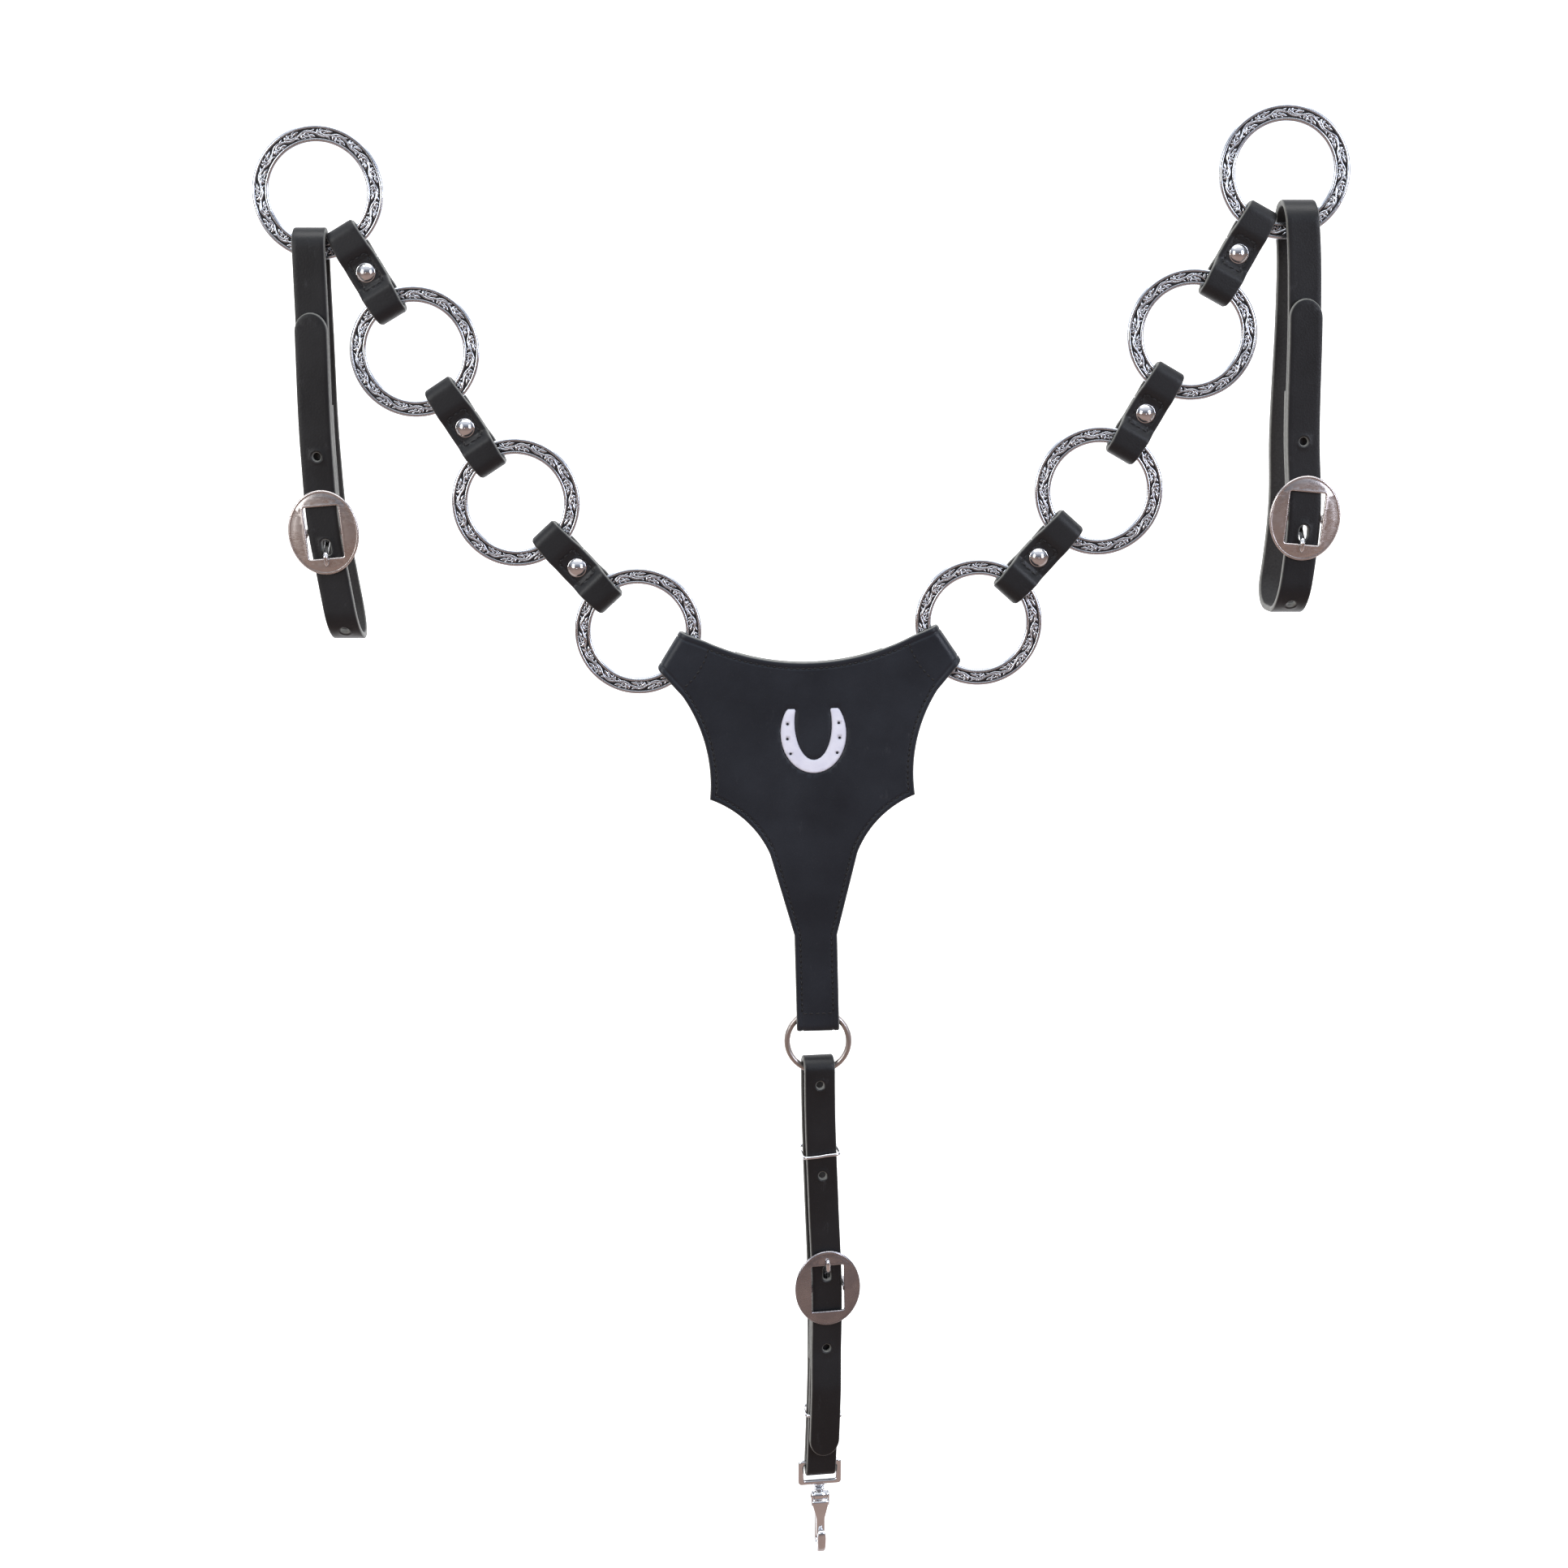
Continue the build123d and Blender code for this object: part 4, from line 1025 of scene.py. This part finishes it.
def rivet_profile(radius=5.5, height=3.0, base=RIVET_BASE):
    """Domed rivet head with a thin rolled edge; its shank ends in a small peened button."""
    sphere = (radius ** 2 + height ** 2) / (2 * height)
    steps = 12
    profile = [(0.01, -(base + height))]
    for k in range(1, steps + 1):
        r = radius * k / steps
        profile.append((r, -(base + height - sphere + sqrt(sphere ** 2 - r ** 2)) - 0.12 * (k > steps - 2)))
    return profile + [(radius + 0.02, -base - 0.15), (radius - 0.25, -base), (1.7, -base),
                      (1.7, base + 0.9), (1.2, base + 1.25), (0.01, base + 1.3)]


def washer_profile(base=RIVET_BASE):
    return [(1.75, base), (4.4, base), (4.5, base + 0.15), (4.45, base + 0.5), (3.9, base + 0.9),
            (2.6, base + 1.0), (1.75, base + 0.9)]


def make_links():
    strap, sewing = link_shapes()
    strip = solid("link_leather", strap, STRAP_LEATHER)
    box = solid("link_stitching", sewing, THREAD)
    head = solid("rivet_head", Shape().add(*lathe(rivet_profile(), 40)), POLISHED)
    washer = solid("rivet_washer", Shape().add(*lathe(washer_profile(), 32)), DULL)
    for side in SIDES:
        for number in range(1, 4):
            a, b = Vector(ring_centre(side, number)), Vector(ring_centre(side, number + 1))
            angle = np.arctan2(b.y - a.y, b.x - a.x)
            place = Matrix.Translation((a.x * MM, 0, a.y * MM)) @ Matrix.Rotation(-angle, 4, "Y")
            centre = place @ Matrix.Translation((LINK_PITCH / 2 * MM, 0, 0))
            body, rivet = f"{side}_link_{number}", f"{side}_rivet_{number}"
            add_piece(body + "_leather", strip, body, body, place)
            add_piece(body + "_stitching", box, body, None, place)
            add_piece(rivet + "_head", head, body, rivet, centre)
            add_piece(rivet + "_back_washer", washer, body, rivet + "_washer", centre)


# ---- tug straps ----
# drift, then heights of the loop's bottom, the tip, the sewn turn's end and the punched holes, and
# the buckle's lean in degrees
TUGS = {
    "left": {
        "drift": Drift([(296, -290.4), (242, -289.8), (160, -289.0), (117, -286.4), (90, -282.2),
                        (48, -275.6)], -0.08),
        "bottom": 52.6, "tip": 242.4, "turn_end": 189.8, "holes": (160.8, 58.6), "lean": -5.0,
    },
    "right": {
        "drift": Drift([(308, 272.2), (276, 275.3), (245, 276.8), (170, 278.4), (126, 280.8),
                        (97, 278.8), (64, 274.6)], -0.15),
        "bottom": 68.6, "tip": 250.4, "turn_end": 198.0, "holes": (169.7, 74.6), "lean": 5.0,
    },
}
CHAPE_R = 4.8                                 # middle radius of the strap's turn round its bar


def tug_path(side):
    """The tug strap's path, from its sewn turn round the buckle's bar to its rounded tip."""
    tug = TUGS[side]
    bar_x, bar_y, bar_z = joint_place(f"{side}_tongue_lift")
    _, _, top = joint_place(f"{side}_tug_swing")
    bend = CHAPE_R - bar_y
    step = STRAP_THICK + PLY_GAP
    main, billet, turn = -bend, -bend - step, -bend + step
    turn_y = bar_y + CHAPE_R
    back, low = 25.0, tug["bottom"] + STRAP_THICK / 2
    path = [(turn, tug["turn_end"]), (turn, bar_z + 16), (turn_y, bar_z + 7), (turn_y, bar_z - CHAPE_R),
            (main, bar_z - CHAPE_R), (main, top + bend), (bend, top + bend), (bend, top - 20),
            (back, low + 55), (back, low), (billet, low), (billet, tug["tip"])]
    radii = [8, 6, CHAPE_R - 0.1, CHAPE_R - 0.1, bend - 0.1, bend - 0.1, 60, 60, 17, 17]
    return Bend(path, radii, 1), (bar_x, bar_y, bar_z)


TONGUE_SLOT = 8.9                             # from the bar to the hole that the tongue is in
CHAPE_SLOT = 3.0                              # from the end of the turn to the slot for the tongue
TUG_SEAM, LOWER_SEAM = 33.0, 34.0             # from the bar to the seam of the sewn turn


def make_strap(body, node, bend, bar, chape_r, place, tip, holes, seam, up):
    """A strap that turns round its buckle's bar. Its tip, holes and seam are given by their heights,
    and up is 1 where the buckle's tongue points up, -1 where it points down."""
    def along(z):
        return bend.length - up * (z - tip)

    half, bar_z = STRAP_WIDTH / 2, bar[2]
    chape = bend.length_to(lambda y, z: up * z >= up * bar_z + chape_r - 0.05)
    slots = [(along(bar_z + up * TONGUE_SLOT), 2.2), (chape + CHAPE_SLOT, 6.0)]
    cuts = [circle(along(z), 0, HOLE_R) for z in holes]
    cuts += [circle(s, 0, HOLE_R, 24, tall) for s, tall in slots]
    strap = sheet(strap_outline(bend, half, 11.0), cuts, strap_rows(bend, half), STRAP_THICK, place)
    add_shape(body + "_leather", strap, body, STRAP_LEATHER, node)
    sewing = Shape()
    for shift in (-2.0, 2.0):
        s = bend.length_to(lambda y, z: abs(z - (seam + shift)) < 0.3)
        stitch_line(sewing, [(s, -7.6), (s, 7.6)], place, STRAP_THICK / 2 - 0.05)
    add_shape(body + "_stitching", sewing, body, THREAD)


def make_tug(side):
    tug, body = TUGS[side], f"{side}_tug"
    bend, bar = tug_path(side)
    place = tug["drift"].place(bend)
    make_strap(body, body + "_strap", bend, bar, CHAPE_R, place,
               tug["tip"], tug["holes"], bar[2] + TUG_SEAM, -1)
    make_buckle(body, bar, tug["lean"], -1, body, body + "_tongue")


# ---- buckles ----
BUCKLE_WIDTH, BUCKLE_HEIGHT, BUCKLE_PLATE = 41.0, 49.0, 2.4
WINDOW_WIDTH, WINDOW_HEIGHT = 20.4, 30.0
LAYERS_TO_PLATE = 11.1
TONGUE_WIRE = 2.8


def buckle_shape():
    """Oval cart buckle about its bar: a crowned plate with a rolled rim, two posts and the bar."""
    half_width, half_height = BUCKLE_WIDTH / 2, BUCKLE_HEIGHT / 2
    outline = [(half_width * cos(2 * pi * k / 96), half_height * sin(2 * pi * k / 96)) for k in range(96)]
    window = dense(box_section(WINDOW_WIDTH, WINDOW_HEIGHT, 1.0, 3)[::-1], 2.5)

    def place(x, z, depth):
        rho = (2 * x / BUCKLE_WIDTH) ** 2 + (2 * z / BUCKLE_HEIGHT) ** 2
        crown = 0.85 * max(0.0, rho - 0.25)
        front = depth - crown * (depth > 0)
        return x, -LAYERS_TO_PLATE - BUCKLE_PLATE / 2 - front, z

    rows = []
    for ring in (0.62, 0.72, 0.82, 0.9):
        for k in range(72):
            angle = 2 * pi * (k + ring * 5) / 72
            rows.append((half_width * ring * cos(angle), half_height * ring * sin(angle)))
    rim = [(0.06, 0.75), (0.25, 0.3), (0.55, 0.05), (0.95, 0.0), (1.3, 0.14), (1.7, 0.2)]
    bevel = [(0.05, 0.5), (0.25, 0.18), (0.6, 0.02), (1.0, 0.0), (1.25, 0.08)]
    shape = sheet(outline, [window], rows, BUCKLE_PLATE, place, rim, bevel)
    for sign in (-1, 1):
        x = sign * (WINDOW_WIDTH / 2 + 1.0)
        post = [(x, y, 0) for y in (-LAYERS_TO_PLATE - 0.4, -LAYERS_TO_PLATE + 0.6, -6, 0, BAR_RADIUS)]
        scales = [(1.35, 1.25), (1, 1), (0.95, 0.95), (1.0, 1.0), (0.75, 0.75)]
        shape.add(*sweep(post, box_section(2.6, 4.4, 0.9), scales=scales))
    bar = [(-WINDOW_WIDTH / 2 - 1.5, 0, 0), (WINDOW_WIDTH / 2 + 1.5, 0, 0)]
    shape.add(*sweep(bar, round_section(BAR_RADIUS, 24), up=(0, 0, 1)))
    return shape


def tongue_shape(up):
    """Tongue curled round the bar, out through the strap and flattened over the window's edge."""
    half = TONGUE_WIRE / 2
    front = -(LAYERS_TO_PLATE + BUCKLE_PLATE + half + 0.1)
    path = [(-2.6, up * 0.4), (-4.6, up * 7.2), (front, up * 13.0), (front, up * 19.6)]
    bend = Bend(path, [2.4, 2.4], 1, 1.5)
    places = [(0, *bend.at(s)) for s in bend.rows]
    scales = []
    for s in bend.rows:
        left = bend.length - s
        taper = min(1.0, 0.35 + sqrt(max(left, 0.0) / 2.2) * 0.65)
        flatten = min(1.0, 0.72 + left * 0.04)
        scales.append((taper, taper * flatten))
    shape = Shape().add(*sweep(places, round_section(half, 20), scales=scales))
    eye = [(0, 2.35 * cos(2 * pi * k / 32), 2.35 * sin(2 * pi * k / 32)) for k in range(32)]
    return shape.add(*sweep(eye, box_section(3.4, 0.9, 0.35), closed=True))


def make_buckle(prefix, bar, lean, up, body, tongue, metal=SATIN, turn=Matrix.Identity(4)):
    place = turn @ Matrix.Translation(Vector(bar)) @ Matrix.Rotation(radians(lean), 4, "Y")
    shape = buckle_shape().moved(place)
    name = f"{prefix}_buckle"
    add_shape(name + "_plate", shape, body, metal, name)
    add_shape(tongue + "_wire", tongue_shape(up).moved(place), tongue, POLISHED, tongue)


# ---- lower strap ----
LOWER_YAW = 9.0
LOWER_AXIS = Vector((joint_place("lower_strap_swing")[0], 0, 0))
LOWER_TURN = (Matrix.Translation(LOWER_AXIS) @ Matrix.Rotation(radians(LOWER_YAW), 4, "Z")
              @ Matrix.Translation(-LOWER_AXIS))
LOWER_DRIFT = Drift([(-196, 0.6), (-240, 1.1), (-300, 3.4), (-353, 5.6), (-420, 4.9), (-492, 2.7)],
                    0.0, LOWER_TURN)
LOWER_TIP, LOWER_FOLD, LOWER_TURN_END = -465.4, -484.0, -404.2
LOWER_HOLES = (-221.2, -279.6, -393.7)
LOWER_CHAPE_R = 4.2
LOWER_LEAN = -1.0


def lower_path():
    """The lower strap's path before LOWER_TURN, and the place of its buckle's bar."""
    bar_x, bar_y, bar_z = LOWER_TURN.inverted() @ Vector(joint_place("lower_tongue_lift"))
    _, _, top = joint_place("lower_strap_swing")
    main = bar_y - LOWER_CHAPE_R
    step = STRAP_THICK + PLY_GAP
    bend = step - main
    back, turn = main + 2 * step, main + step
    turn_y = bar_y + LOWER_CHAPE_R
    bowed = turn_y + step
    low = LOWER_FOLD + STRAP_THICK / 2
    lifted = -bend - 3.3
    under = (back - main) / 2 - 0.1
    path = [(turn, LOWER_TURN_END), (turn, bar_z - 16), (turn_y, bar_z - 8),
            (turn_y, bar_z + LOWER_CHAPE_R), (main, bar_z + LOWER_CHAPE_R), (main, low), (back, low),
            (back, bar_z - 60), (bowed, bar_z - 22), (bowed, bar_z + 12), (bend, top - 25),
            (bend, top + bend), (-bend, top + bend), (-bend, LOWER_TIP + 70), (lifted, LOWER_TIP + 45),
            (lifted, LOWER_TIP)]
    radii = [8, 6, LOWER_CHAPE_R - 0.1, LOWER_CHAPE_R - 0.1, under, under, 30, 30, 30, 30,
             bend - 0.1, bend - 0.1, 40, 40]
    return Bend(path, radii, -1), (bar_x, bar_y, bar_z)


def make_lower_strap():
    bend, bar = lower_path()
    body, place = "lower_strap", LOWER_DRIFT.place(bend)
    make_strap(body, body, bend, bar, LOWER_CHAPE_R, place, LOWER_TIP, LOWER_HOLES, bar[2] - LOWER_SEAM, 1)
    make_buckle("lower", bar, LOWER_LEAN, 1, body, "lower_tongue", DARK_STEEL, LOWER_TURN)


# inner faces of each keeper's wire, in front of and behind the strap, and its tilt
KEEPERS = {"upper_keeper": (-9.2, 11.4, -5.0), "lower_keeper": (-4.8, 8.7, 4.0)}


def make_keepers():
    """Bent wire keepers, a little wavy, that hold the strap's plies together."""
    wire = 1.0
    for node, (front, back, tilt) in KEEPERS.items():
        low, high = [Vector(corner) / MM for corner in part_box(node)]
        z = (low.z + high.z) / 2
        loop = box_section(STRAP_WIDTH + 1.8 + 2 * wire, back - front + 2 * wire, 3.0, 7)
        path = [(x, y, 0.12 * sin(x * 0.5)) for x, y in dense(loop, 2.0)]
        centre = Vector((LOWER_DRIFT.x_at(z), (front + back) / 2, z))
        place = LOWER_TURN @ Matrix.Translation(centre) @ Matrix.Rotation(radians(tilt), 4, "Y")
        shape = Shape().add(*sweep(path, round_section(wire, 14), closed=True, up=(0, 0, 1))).moved(place)
        add_shape(node + "_wire", shape, node, POLISHED, node)


def make_bottom_ring():
    """Plain wire ring with the faint nick of its welded joint."""
    x, _, z = joint_place("bottom_ring_turn")
    count, weld = 120, 17
    angles = [2 * pi * k / count for k in range(count)]
    path = [(x + LOOP_MID_R * cos(angle), 0, z + LOOP_MID_R * sin(angle)) for angle in angles]
    scales = [(0.965, 0.965) if k in (weld - 1, weld + 1) else (1, 1) for k in range(count)]
    wire = sweep(path, round_section(LOOP_WIRE / 2, 20), closed=True, scales=scales, up=(0, 1, 0))
    add_shape("bottom_ring_wire", Shape().add(*wire), "bottom_ring", DULL, "bottom_ring")


# ---- snap ----
# all about the eye's top bar, which the strap swings it on: the eye, the shank with its hook and
# nose, and the knuckle that the gate turns in
EYE_WIDTH, EYE_WINDOW, EYE_DROP = 28.0, 20.4, 13.6
SNAP_BAR_R = 1.7
SHANK_WIDTH, SHANK_THICK = 5.0, 4.2
SHANK_Y, NOSE_Y = 4.4, -8.6
HOOK_LOW, NOSE_TOP = -58.1, -43.4
KNUCKLE_WIDTH, KNUCKLE_R = 8.4, 3.3
GATE_PIVOT = (-1.3, -22.2)


def snap_eye():
    """Flat rectangular strap eye about its top bar."""
    outer = dense(box_section(EYE_WIDTH, EYE_DROP + 2 * SNAP_BAR_R, 2.4, 5), 2.0)
    inner = dense(box_section(EYE_WINDOW, EYE_DROP - 2 * SNAP_BAR_R, 1.2, 4)[::-1], 2.0)

    def place(x, z, depth):
        return x, -depth, z - EYE_DROP / 2

    rim = [(0.1, 1.0), (0.35, 0.5), (0.8, 0.12), (1.3, 0.0)]
    return sheet(outer, [inner], [], 2 * SNAP_BAR_R, place, rim, rim)


def snap_body_shape():
    """Strap eye, shank and hook with a flattened nose, and the gate's knuckle."""
    shape = snap_eye()
    path = Bend([(0, -EYE_DROP + 0.5), (SHANK_Y, -22.5), (SHANK_Y, HOOK_LOW), (NOSE_Y, HOOK_LOW),
                 (NOSE_Y, NOSE_TOP)], [8, 6.2, 6.2], 1, 1.6)
    points = [(0, *path.at(s)) for s in path.rows]
    scales = []
    for s in path.rows:
        left = path.length - s
        nose = max(0.0, 1 - left / 18.0)
        tip = min(1.0, 0.45 + sqrt(max(left, 0) / 4.0) * 0.55)
        start = max(0.0, 1 - s / 9.0)
        scales.append(((1 + 0.15 * nose + 0.6 * start) * tip, (1 - 0.12 * nose) * tip))
    shape.add(*sweep(points, box_section(SHANK_WIDTH, SHANK_THICK, 1.4, 5), scales=scales))
    y, z = GATE_PIVOT
    half = KNUCKLE_WIDTH / 2
    barrel = [(x, y, z) for x in (-half, -half + 0.5, half - 0.5, half)]
    round_ends = [(0.86, 0.86), (1, 1), (1, 1), (0.86, 0.86)]
    shape.add(*sweep(barrel, round_section(KNUCKLE_R, 28), scales=round_ends, up=(0, 0, 1)))
    web = [(0, y + 4.6, z), (0, y + 0.5, z)]
    return shape.add(*sweep(web, box_section(KNUCKLE_WIDTH, 2 * KNUCKLE_R, 1.4)))


GATE_WALL, GATE_LENGTH = 1.1, 26.5
GATE_HALF, GATE_END_HALF = 5.6, 2.7
GATE_EAR_R = 3.0
GATE_ARC = 12                                 # steps round the gate's front


def gate_section(half, front, back):
    """Across the gate at one height: a rounded front with a wall turned back on each side."""
    depth, loop = 1.8, []
    for side, reach, way in ((half, depth, 1), (half - GATE_WALL, depth - GATE_WALL, -1)):
        arc = [(side, back)]
        for j in range(GATE_ARC + 1):
            c, t = cos(pi * j / GATE_ARC), sin(pi * j / GATE_ARC)
            arc.append((np.sign(c) * side * abs(c) ** 0.5, front + depth - reach * max(t, 0.0) ** 0.5))
        arc.append((-side, back))
        loop += arc[::way]
    return loop


def snap_gate_shape():
    """Gate lever of bent sheet, narrowing to its end, with an ear on each side for its pin."""
    y, z = GATE_PIVOT
    rows, columns = 17, 2 * (GATE_ARC + 3)
    verts = []
    for k in range(rows):
        down = GATE_EAR_R + (GATE_LENGTH - GATE_EAR_R) * k / (rows - 1)
        half = float(np.interp(down, [4, 15], [GATE_HALF, GATE_END_HALF]))
        back = float(np.interp(down, [1, GATE_LENGTH], [3.0, -1.6]))
        verts += [(x, y + v, z - down) for x, v in gate_section(half, -3.4 - (down + 1.5) / 28, back)]
    faces = grid_faces(rows, columns, False, True)
    for base in (0, columns * (rows - 1)):
        last = base + columns - 1
        faces += [[base + i, base + i + 1, last - 1 - i, last - i] for i in range(GATE_ARC + 2)]
    shape = Shape().add(verts, faces)
    ear = [(GATE_EAR_R * cos(pi * j / 14), GATE_EAR_R * sin(pi * j / 14)) for j in range(15)]
    ear += [(-2.8, -6.0), (1.6, -6.0)]
    for sign in (-1, 1):
        verts = [(sign * x, y + v, z + w) for x in (GATE_HALF - GATE_WALL, GATE_HALF) for v, w in ear]
        shape.add(verts, tube_faces(2, len(ear)))
    return shape


def bevelled(node, name, body, material, width):
    """A piece with its CAD node's own shape, its edges rounded over."""
    mesh = frame["nodes"][node].data.copy()
    shell = bmesh.new()
    shell.from_mesh(mesh)
    bmesh.ops.remove_doubles(shell, verts=shell.verts, dist=0.000005)
    bmesh.ops.dissolve_limit(shell, angle_limit=radians(3), verts=shell.verts, edges=shell.edges)
    shell.to_mesh(mesh)
    shell.free()
    mesh.materials.clear()
    mesh.materials.append(material)
    mesh.polygons.foreach_set("use_smooth", [True] * len(mesh.polygons))
    piece = add_piece(name, mesh, body, node)
    rounding = piece.modifiers.new("rounding", "BEVEL")
    rounding.width = width * MM
    rounding.segments = 3
    rounding.limit_method = "ANGLE"
    rounding.angle_limit = radians(35)
    piece.modifiers.new("shading", "WEIGHTED_NORMAL").keep_sharp = True


def make_snap():
    turn = Matrix.Rotation(radians(LOWER_YAW), 4, "Z")
    place = Matrix.Translation(Vector(joint_place("snap_swing"))) @ turn
    steel_body, gate = snap_body_shape().moved(place), snap_gate_shape().moved(place)
    add_shape("snap_body_metal", steel_body, "snap", POLISHED, "snap_body")
    add_shape("snap_gate_lever", gate, "snap_gate", POLISHED, "snap_gate")
    bevelled("snap_pin", "snap_pin_head", "snap", DULL, 0.3)
    bevelled("snap_spring", "snap_spring_coil", "snap", DULL, 0.02)


# ---- studio ----
CAMERA_PITCH = 12.06
CAMERA_LENS = 57.6
CAMERA_PLACE = (-0.020, -1.4669, 0.2784)


def stand(name, data, place, rotation):
    """A camera or light set up in the studio."""
    piece = bpy.data.objects.new(name, data)
    piece.location = place
    piece.rotation_euler = rotation
    bpy.context.scene.collection.objects.link(piece)
    return piece


def make_camera():
    camera = bpy.data.cameras.new("camera")
    camera.lens = CAMERA_LENS
    camera.sensor_width = 36.0
    pitch = (radians(90 - CAMERA_PITCH), 0, 0)
    bpy.context.scene.camera = stand("camera", camera, CAMERA_PLACE, pitch)


def make_light(name, place, size, power, colour=(1, 1, 1)):
    """A window-like area light that looks at the object's middle."""
    light = bpy.data.lights.new(name, "AREA")
    light.shape = "RECTANGLE"
    light.size, light.size_y = size
    light.energy = power
    light.color = colour
    stand(name, light, place, (-Vector(place)).to_track_quat("-Z", "Y").to_euler())


# the room that the metal mirrors, as (height, colour), from the floor up to the ceiling
SKY = [(0.0, (0.04, 0.03, 0.025)), (0.30, (0.16, 0.105, 0.085)), (0.45, (0.34, 0.225, 0.18)),
       (0.50, (0.25, 0.205, 0.195)), (0.56, (0.15, 0.15, 0.17)), (0.70, (0.30, 0.32, 0.38)),
       (0.86, (0.95, 0.98, 1.05)), (1.0, (1.0, 1.0, 1.0))]


def make_sky():
    """A dim room for the metal to mirror, brown below and blue-white above, and plain white to the eye."""
    world = bpy.data.worlds.new("sky")
    bpy.context.scene.world = world
    world.use_nodes = True
    sky = Nodes(world.node_tree, "Generated")
    height = sky.link(sky.coordinates, sky.node("ShaderNodeSeparateXYZ"), "Vector").outputs["Z"]
    ramp = sky.link(sky.spread(height, -1.0, 1.0), sky.node("ShaderNodeValToRGB"), "Fac")
    while len(ramp.color_ramp.elements) < len(SKY):
        ramp.color_ramp.elements.new(0.5)
    for element, (stop, colour) in zip(ramp.color_ramp.elements, SKY):
        element.position = stop
        element.color = (*colour, 1.0)
    seen = sky.node("ShaderNodeLightPath").outputs["Is Camera Ray"]
    white = sky.mix(seen, ramp.outputs["Color"], (1.0, 1.0, 1.0))
    sky.link(white, world.node_tree.nodes["Background"], "Color")


FLOOR_Z, WALL_Y, HALF_WIDTH, SWEEP_R = -0.80, 3.2, 4.5, 0.8


def make_backdrop():
    """Pale floor that sweeps up into a far, brighter wall."""
    bend_y = WALL_Y - SWEEP_R
    angles = [radians(90 * k / 12) for k in range(1, 13)]
    profile = [(-4.0, FLOOR_Z), (bend_y, FLOOR_Z), (WALL_Y, 3.2)]
    profile[2:2] = [(bend_y + SWEEP_R * sin(angle), FLOOR_Z + SWEEP_R * (1 - cos(angle))) for angle in angles]
    mesh = bpy.data.meshes.new("backdrop")
    verts = [(x, y, z) for y, z in profile for x in (-HALF_WIDTH, HALF_WIDTH)]
    faces = [[2 * i, 2 * i + 1, 2 * i + 3, 2 * i + 2] for i in range(len(profile) - 1)]
    mesh.from_pydata(verts, [], faces)
    mesh.polygons.foreach_set("use_smooth", [True] * len(mesh.polygons))
    paint = Paint("backdrop_paper")
    split = paint.link(paint.coordinates, paint.node("ShaderNodeSeparateXYZ"), "Vector")
    behind = paint.spread(split.outputs["Y"], -0.1, 0.9)
    grain = paint.mix(paint.noise(3.0), (0.20, 0.145, 0.12), (0.23, 0.165, 0.14))
    tone = paint.mix(behind, grain, (0.82, 0.82, 0.82))
    seen = paint.node("ShaderNodeLightPath").outputs["Is Camera Ray"]
    glow = paint.mix(seen, paint.mix(behind, (0.10, 0.068, 0.055), (0.90, 0.90, 0.90)), (1.0, 1.0, 1.0))
    mesh.materials.append(paint.finish(Base_Color=tone, Roughness=0.9, Specular_IOR_Level=0.1,
                                       Emission_Color=glow, Emission_Strength=1.0))
    backdrop = bpy.data.objects.new("backdrop", mesh)
    bpy.context.scene.collection.objects.link(backdrop)


def make_studio():
    make_backdrop()
    make_sky()
    make_light("left_window", (-1.5, -1.5, 0.6), (0.6, 1.1), 22, (1.0, 1.0, 0.98))
    make_light("right_window", (1.5, -1.5, 0.6), (0.6, 1.1), 22, (0.84, 0.88, 1.0))
    make_light("top", (0.0, -0.25, 1.9), (2.2, 0.7), 22)
    make_light("rim_left", (-1.8, 1.0, 0.5), (0.5, 1.6), 9)
    make_light("rim_right", (1.8, 1.0, 0.5), (0.5, 1.6), 9)
    bpy.context.scene.view_settings.view_transform = "Standard"


make_camera()
make_studio()
make_rings()
make_yoke()
make_links()
make_tug("left")
make_tug("right")
make_lower_strap()
make_keepers()
make_bottom_ring()
make_snap()
